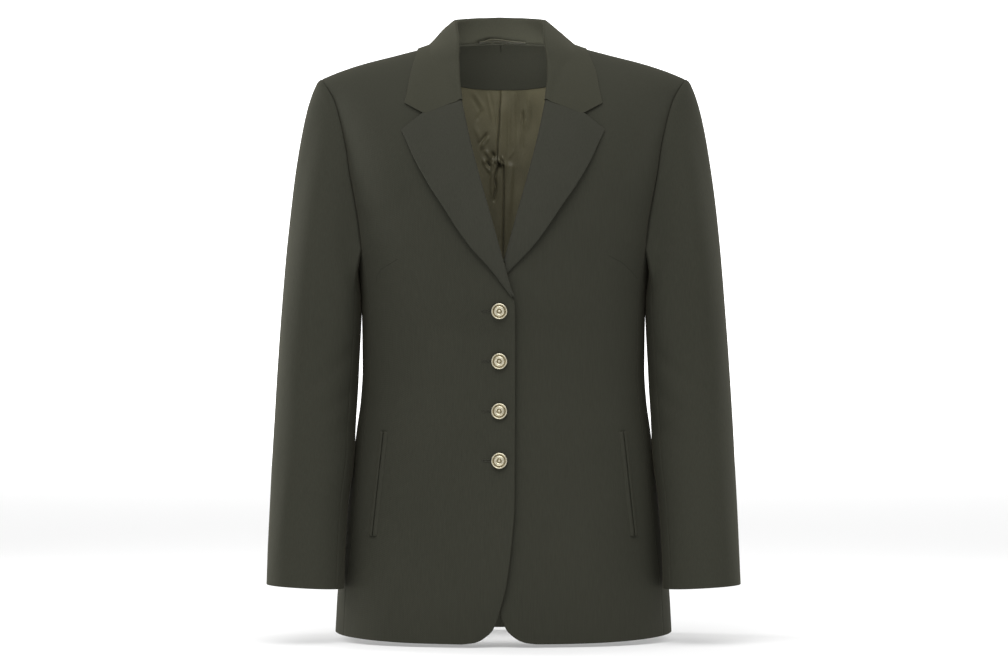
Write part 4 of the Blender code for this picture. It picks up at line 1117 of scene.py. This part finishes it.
def make_buttonhole(number, height, skin):
    """Close stitches round a slit, as one ribbed loop laid on the front."""
    start, end = BUTTONHOLE
    straight = end - start
    half_round = straight + math.pi * BUTTONHOLE_HALF
    steps = int(2.0 * half_round / STITCH_PITCH) * 4
    rows = []
    for at in 2.0 * half_round * np.arange(steps) / steps:
        after_half, rest = divmod(at, half_round)
        turn = max(rest - straight, 0.0) / BUTTONHOLE_HALF
        away = Vector((math.sin(turn), 0.0, -math.cos(turn)))
        x, z = start + min(rest, straight) + away.x * BUTTONHOLE_HALF, away.z * BUTTONHOLE_HALF
        if after_half:
            x, z, away = start + end - x, -z, -away
        place, normal = front_depth(skin, -x, height + z, RIGHT)
        ridge = STITCH_HALF + STITCH_RIDGE * math.sin(2.0 * math.pi * at / STITCH_PITCH)
        rows.append([place + (away * math.cos(a) * STITCH_SPREAD + normal * math.sin(a)) * ridge
                     for a in np.linspace(0.0, 2.0 * math.pi, 9)[:-1]])
    faces = ring_faces(steps, 8)[..., [0, 3, 2, 1]].reshape(-1, 4)
    return new_object("buttonhole_" + str(number), as_grid(rows).reshape(-1, 3), faces,
                      "thread")


# ---- materials
def node(tree, kind, **values):
    """Adds a shader node; values name its sockets, with _ for a space, or its settings."""
    item = tree.nodes.new("ShaderNode" + kind)
    for key, value in values.items():
        socket = item.inputs.get(key.replace("_", " "))
        if socket is not None:
            socket.default_value = value
        else:
            setattr(item, key, value)
    return item


def math_node(tree, operation, *values):
    item = node(tree, "Math", operation=operation)
    for socket, value in zip(item.inputs, values):
        if isinstance(value, (int, float)):
            socket.default_value = value
        else:
            tree.links.new(value, socket)
    return item.outputs[0]


def weighted(tree, *terms):
    """The sum of values, each times its weight."""
    parts = [math_node(tree, "MULTIPLY", *term) for term in terms]
    total = parts[0]
    for part in parts[1:]:
        total = math_node(tree, "ADD", total, part)
    return total


def new_material(name, colour, roughness, **shader_values):
    material = MATERIALS[name] = bpy.data.materials.new(name)
    material.use_nodes = True
    shader = material.node_tree.nodes["Principled BSDF"]
    values = {"Base_Color": (*colour, 1.0), "Roughness": roughness, **shader_values}
    for key, value in values.items():
        shader.inputs[key.replace("_", " ")].default_value = value
    return material.node_tree, shader


def scaled_place(tree, scale):
    """Places in the garment's own frame, stretched by a scale along each axis."""
    mapping = node(tree, "Mapping", Scale=scale)
    tree.links.new(node(tree, "TexCoord").outputs["Object"], mapping.inputs["Vector"])
    return mapping.outputs[0]


def noise(tree, scale, detail, roughness=0.5):
    item = node(tree, "TexNoise", Scale=1.0, Detail=detail, Roughness=roughness)
    tree.links.new(scaled_place(tree, scale), item.inputs["Vector"])
    return item.outputs["Fac"]


def tinted(tree, shader, factor, dark, light, low=0.3, high=0.7):
    """Base colour from a factor, between a darker and a lighter tone."""
    ramp = node(tree, "ValToRGB")
    for element, position, colour in zip(ramp.color_ramp.elements, (low, high), (dark, light)):
        element.position = position
        element.color = (*colour, 1.0)
    tree.links.new(factor, ramp.inputs["Fac"])
    tree.links.new(ramp.outputs["Color"], shader.inputs["Base Color"])


def add_bump(tree, shader, height, distance, strength):
    item = node(tree, "Bump", Strength=strength, Distance=distance)
    tree.links.new(height, item.inputs["Height"])
    tree.links.new(item.outputs["Normal"], shader.inputs["Normal"])


def wool(name, dark, light, lines=()):
    """Fine worsted: faint lengthwise grain, a fine twill and soft cloudy unevenness; sewn lines are
    darkened in its tone as painted shade and sunk in its bump.
    """
    tree, shader = new_material(name, light, 0.88, Sheen_Weight=0.05, Sheen_Roughness=0.40,
                                Sheen_Tint=(*SHEEN_TINT, 1.0), Specular_IOR_Level=0.06)
    grain = noise(tree, (1150.0, 1150.0, 48.0), 3.0)
    fleck = noise(tree, (2600.0, 2600.0, 2200.0), 2.0)
    cloud = noise(tree, (9.0, 9.0, 5.0), 2.0)
    twill = node(tree, "TexWave", Scale=1.0, Distortion=0.6, Detail=1.0, Detail_Scale=2.0)
    tree.links.new(scaled_place(tree, (330.0, 330.0, 250.0)), twill.inputs["Vector"])
    twill.bands_direction = "DIAGONAL"
    tone = weighted(tree, (grain, 0.50), (fleck, 0.22), (cloud, 0.28))
    height = weighted(tree, (twill.outputs["Fac"], 0.5), (grain, 0.5))
    # Each sewn line darkens the tone as painted shade of its groove, and sinks the bump.
    for line in lines:
        mask = line_mask(tree, *line)
        tone = math_node(tree, "SUBTRACT", tone, mask)
        height = math_node(tree, "SUBTRACT", height, math_node(tree, "MULTIPLY", mask, LINE_DIP))
    tinted(tree, shader, tone, dark, light)
    add_bump(tree, shader, height, 0.00010, 0.6)


def line_mask(tree, start, end, width, strength):
    """How strongly a sewn line between two places, seen from the front, is darkened as painted
    shade and sunk in the bump.
    """
    split = node(tree, "SeparateXYZ")
    tree.links.new(node(tree, "TexCoord").outputs["Object"], split.inputs[0])
    run = (end[0] - start[0], end[1] - start[1])
    squared = run[0] ** 2 + run[1] ** 2
    from_start = [math_node(tree, "SUBTRACT", split.outputs[axis], place)
                  for axis, place in zip("XZ", start)]
    along = weighted(tree, *((place, part / squared) for place, part in zip(from_start, run)))
    along = math_node(tree, "MAXIMUM", math_node(tree, "MINIMUM", along, 1.0), 0.0)
    beside = [math_node(tree, "SUBTRACT", place, math_node(tree, "MULTIPLY", along, part))
              for place, part in zip(from_start, run)]
    squares = weighted(tree, *((place, place) for place in beside))
    away = math_node(tree, "DIVIDE", math_node(tree, "SQRT", squares, 0.0), width)
    near = math_node(tree, "SUBTRACT", 1.0, math_node(tree, "MINIMUM", away, 1.0))
    return math_node(tree, "MULTIPLY", near, strength)


# Bust darts, seen from the front: x and height of the places they pass, narrow end first. Each is
# darkened in tone as painted shade of its groove.
DARTS = {
    "left": ((0.1238, -0.2561), (0.1399, -0.2641), (0.1500, -0.2730), (0.1581, -0.2823)),
    "right": ((-0.1243, -0.2602), (-0.1441, -0.2718), (-0.1490, -0.2800), (-0.1500, -0.2890)),
}
LINE_DIP = 6.0          # how much deeper a sewn line is in the bump than in the tone
DART_WIDTH = 0.0009
DART_SHADE_AND_DIP = 0.5
# The pocket slit's dark line is painted shade on the front: its width, and how much it darkens the
# tone and sinks the bump.
SLIT_WIDTH = 0.0034
SLIT_SHADE_AND_DIP = 1.0
# Darker and lighter tone of each wool; the lapel's and the collar's are the same worsted made
# lighter, as painted light.
WOOLS = {
    "worsted": ((0.0335, 0.0340, 0.0255), (0.0440, 0.0442, 0.0335)),
    # The lapel and the collar are the body's worsted, lightened as painted light.
    "lapel_cloth": ((0.0352, 0.0355, 0.0277), (0.0458, 0.0461, 0.0360)),
    "collar_cloth": ((0.0385, 0.0385, 0.0280), (0.0500, 0.0500, 0.0365)),
}
SHEEN_TINT = (0.80, 0.74, 0.52)


def make_materials():
    for name, tones in WOOLS.items():
        wool(name, *tones)
    for word, side in SIDES:
        # Each dart is darkened as painted shade of its seam's groove, and sunk in the bump.
        lines = [(a, b, DART_WIDTH, DART_SHADE_AND_DIP) for a, b in zip(DARTS[word], DARTS[word][1:])]
        # The slit between the welts is darkened as painted shade, and sunk in the bump.
        slit = [(out * side, height) for height, out in (POCKET_TOP, POCKET_FOOT)]
        lines.append((*slit, SLIT_WIDTH, SLIT_SHADE_AND_DIP))
        wool("worsted_front_" + word, *WOOLS["worsted"], lines)
    satin("satin", (0.068, 0.062, 0.036), (0.128, 0.117, 0.070))
    satin("loop_satin", (0.040, 0.038, 0.023), (0.060, 0.057, 0.034))
    tree, shader = new_material("thread", (0.040, 0.040, 0.031), 0.7, Specular_IOR_Level=0.1)
    tinted(tree, shader, noise(tree, (1500.0,) * 3, 2.0), (0.032, 0.032, 0.025),
           (0.050, 0.050, 0.038))
    gold("pale_gold", (0.60, 0.55, 0.40), (0.80, 0.75, 0.60), 0.36)
    # A darker gold for the button's hollows, edge and underside, as painted shade.
    gold("gold_painted_shade", (0.22, 0.185, 0.115), (0.38, 0.33, 0.22), 0.50)


def satin(name, dark, light):
    tree, shader = new_material(name, light, 0.52, Sheen_Weight=0.10, Sheen_Roughness=0.3,
                                Specular_IOR_Level=0.30)
    weave = noise(tree, (2200.0, 2200.0, 160.0), 2.0)
    cloud = noise(tree, (26.0, 26.0, 16.0), 3.0)
    tinted(tree, shader, weighted(tree, (weave, 0.35), (cloud, 0.65)), dark, light)
    add_bump(tree, shader, weave, 0.00006, 0.5)


def gold(name, dark, light, roughness):
    """Pale gold with slightly worn polish."""
    tree, shader = new_material(name, light, roughness, Metallic=0.9)
    worn = noise(tree, (420.0,) * 3, 4.0, 0.6)
    tinted(tree, shader, worn, dark, light, 0.35, 0.65)
    rough = math_node(tree, "ADD", math_node(tree, "MULTIPLY", worn, 0.20), roughness - 0.10)
    tree.links.new(rough, shader.inputs["Roughness"])


# ---- studio
PHOTO_WIDTH = 1008
MM_PER_PIXEL = 1.2
CAMERA_DISTANCE = 4.5
CAMERA_OUT = 0.0006
CAMERA_HEIGHT = -0.350
SENSOR = 36.0
FLOOR_DROP = 0.004      # the hem hangs this far above the floor


def make_camera():
    data = bpy.data.cameras.new("camera")
    data.sensor_width = SENSOR
    data.lens = SENSOR * CAMERA_DISTANCE / (PHOTO_WIDTH * MM_PER_PIXEL / 1000.0)
    camera = bpy.data.objects.new("camera", data)
    camera.location = (CAMERA_OUT, -CAMERA_DISTANCE, CAMERA_HEIGHT)
    camera.rotation_euler = (math.pi / 2, 0.0, 0.0)
    bpy.context.scene.collection.objects.link(camera)
    bpy.context.scene.camera = camera


def aimed(item, place, aim):
    item.location = place
    item.rotation_euler = (Vector(aim) - Vector(place)).to_track_quat("-Z", "Y").to_euler()
    bpy.context.scene.collection.objects.link(item)


def area_light(name, place, aim, size, power):
    data = bpy.data.lights.new(name, "AREA")
    data.shape = "RECTANGLE"
    data.size, data.size_y = size
    data.energy = power
    light = bpy.data.objects.new(name, data)
    light.visible_camera = False
    aimed(light, place, aim)


def sun_light(name, place, strength, softness):
    data = bpy.data.lights.new(name, "SUN")
    data.energy = strength
    data.angle = math.radians(softness)
    aimed(bpy.data.objects.new(name, data), place, (0.0, 0.0, 0.0))


WORLD_LIGHT = 0.32
BACKDROP_AWAY = 6.0
BACKDROP_HALF = 1.8
BACKDROP_HEIGHT = 3.0
FLOOR_HALF = 9.0
# Name, place, strength, softness in degrees; each is aimed at the origin.
SUN_LIGHTS = (
    ("key", (-0.55, -1.0, 0.95), 0.42, 50.0),
    ("top", (0.10, -0.30, 1.0), 1.9, 70.0),
)
# Name, place, aim, size, power.
AREA_LIGHTS = (
    ("front", (-0.15, -0.9, 0.75), (0.0, 0.0, 0.0), (0.7, 0.5), 4.5),
    ("left_strip", (-1.5, 0.60, -0.1), (-0.25, 0.0, -0.35), (0.35, 1.3), 27.0),
    ("right_strip", (1.5, 0.75, -0.1), (0.25, 0.0, -0.35), (0.35, 1.3), 14.0),
    ("inside_hem", (0.0, -0.03, -0.60), (0.0, 0.10, -0.69), (0.16, 0.06), 0.17),
    ("inside_neck", (0.03, -0.035, -0.02), (0.0, 0.10, -0.08), (0.05, 0.05), 0.15),
)


def white_sheet(name, albedo, emission, corners):
    """A flat piece of the studio that gives off a little light of its own."""
    new_material(name, (albedo,) * 3, 0.9, Specular_IOR_Level=0.0, Emission_Color=(1.0,) * 4,
                 Emission_Strength=emission)
    new_object(name, corners, [(0, 1, 2, 3)], name)


def make_studio():
    scene = bpy.context.scene
    world = bpy.data.worlds.new("studio")
    world.use_nodes = True
    background = world.node_tree.nodes["Background"]
    background.inputs["Color"].default_value = (1.0, 1.0, 1.0, 1.0)
    background.inputs["Strength"].default_value = WORLD_LIGHT
    scene.world = world
    scene.view_settings.view_transform = "Standard"
    low, half, wide, away = HEM - FLOOR_DROP, FLOOR_HALF, BACKDROP_HALF, BACKDROP_AWAY
    high = low + BACKDROP_HEIGHT
    white_sheet("floor", 0.58, 0.31, [(-half, -half, low), (half, -half, low), (half, half, low),
                                      (-half, half, low)])
    white_sheet("backdrop", 0.9, 1.0, [(-wide, away, low), (wide, away, low), (wide, away, high),
                                       (-wide, away, high)])
    for light in SUN_LIGHTS:
        sun_light(*light)
    for light in AREA_LIGHTS:
        area_light(*light)


def dress(piece, nodes):
    """Ties a piece to the frame: what it rides on and what it replaces."""
    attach(piece, "root")
    if nodes:
        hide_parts(*nodes)


def main():
    make_camera()
    make_materials()
    fronts, backs = [], []
    for word, side in SIDES:
        for skins, make, name in ((fronts, make_front, "front"), (backs, make_back, "back")):
            piece, skin = make(word, side)
            skins.append((skin, side))
            dress(piece, [name + "_" + word])
        dress(make_side(word, side)[0], ["side_" + word])
        for name, piece in zip(("under_sleeve", "top_sleeve"), make_sleeve(word, side)):
            dress(piece, [name + "_" + word])
    front_skin, body_skin = as_tree(fronts), as_tree(fronts + backs)
    for word, side in SIDES:
        lapel = make_lapel(word, side, front_skin)
        dress(lapel, ["lapel_" + word])
        for place_word, towards in (("outer", 1), ("inner", -1)):
            welt = make_welt(word, side, front_skin, place_word, towards)
            dress(welt, ["welt_" + word + "_" + place_word])
    collar, collar_grid = make_collar(body_skin)
    dress(collar, ["collar"])
    dress(make_neck_facing(), ["back_neck_facing"])
    dress(make_lining(), ["back_lining"])
    loop = make_hanger_loop(as_tree([(collar_grid, LEFT)]))
    dress(loop, ["hanger_loop"])
    for number, height in enumerate(BUTTON_HEIGHTS, start=1):
        button = make_button(number, height, front_skin)
        dress(button, ["button_" + str(number)])
        dress(make_buttonhole(number, height, front_skin), [])
    make_studio()


main()
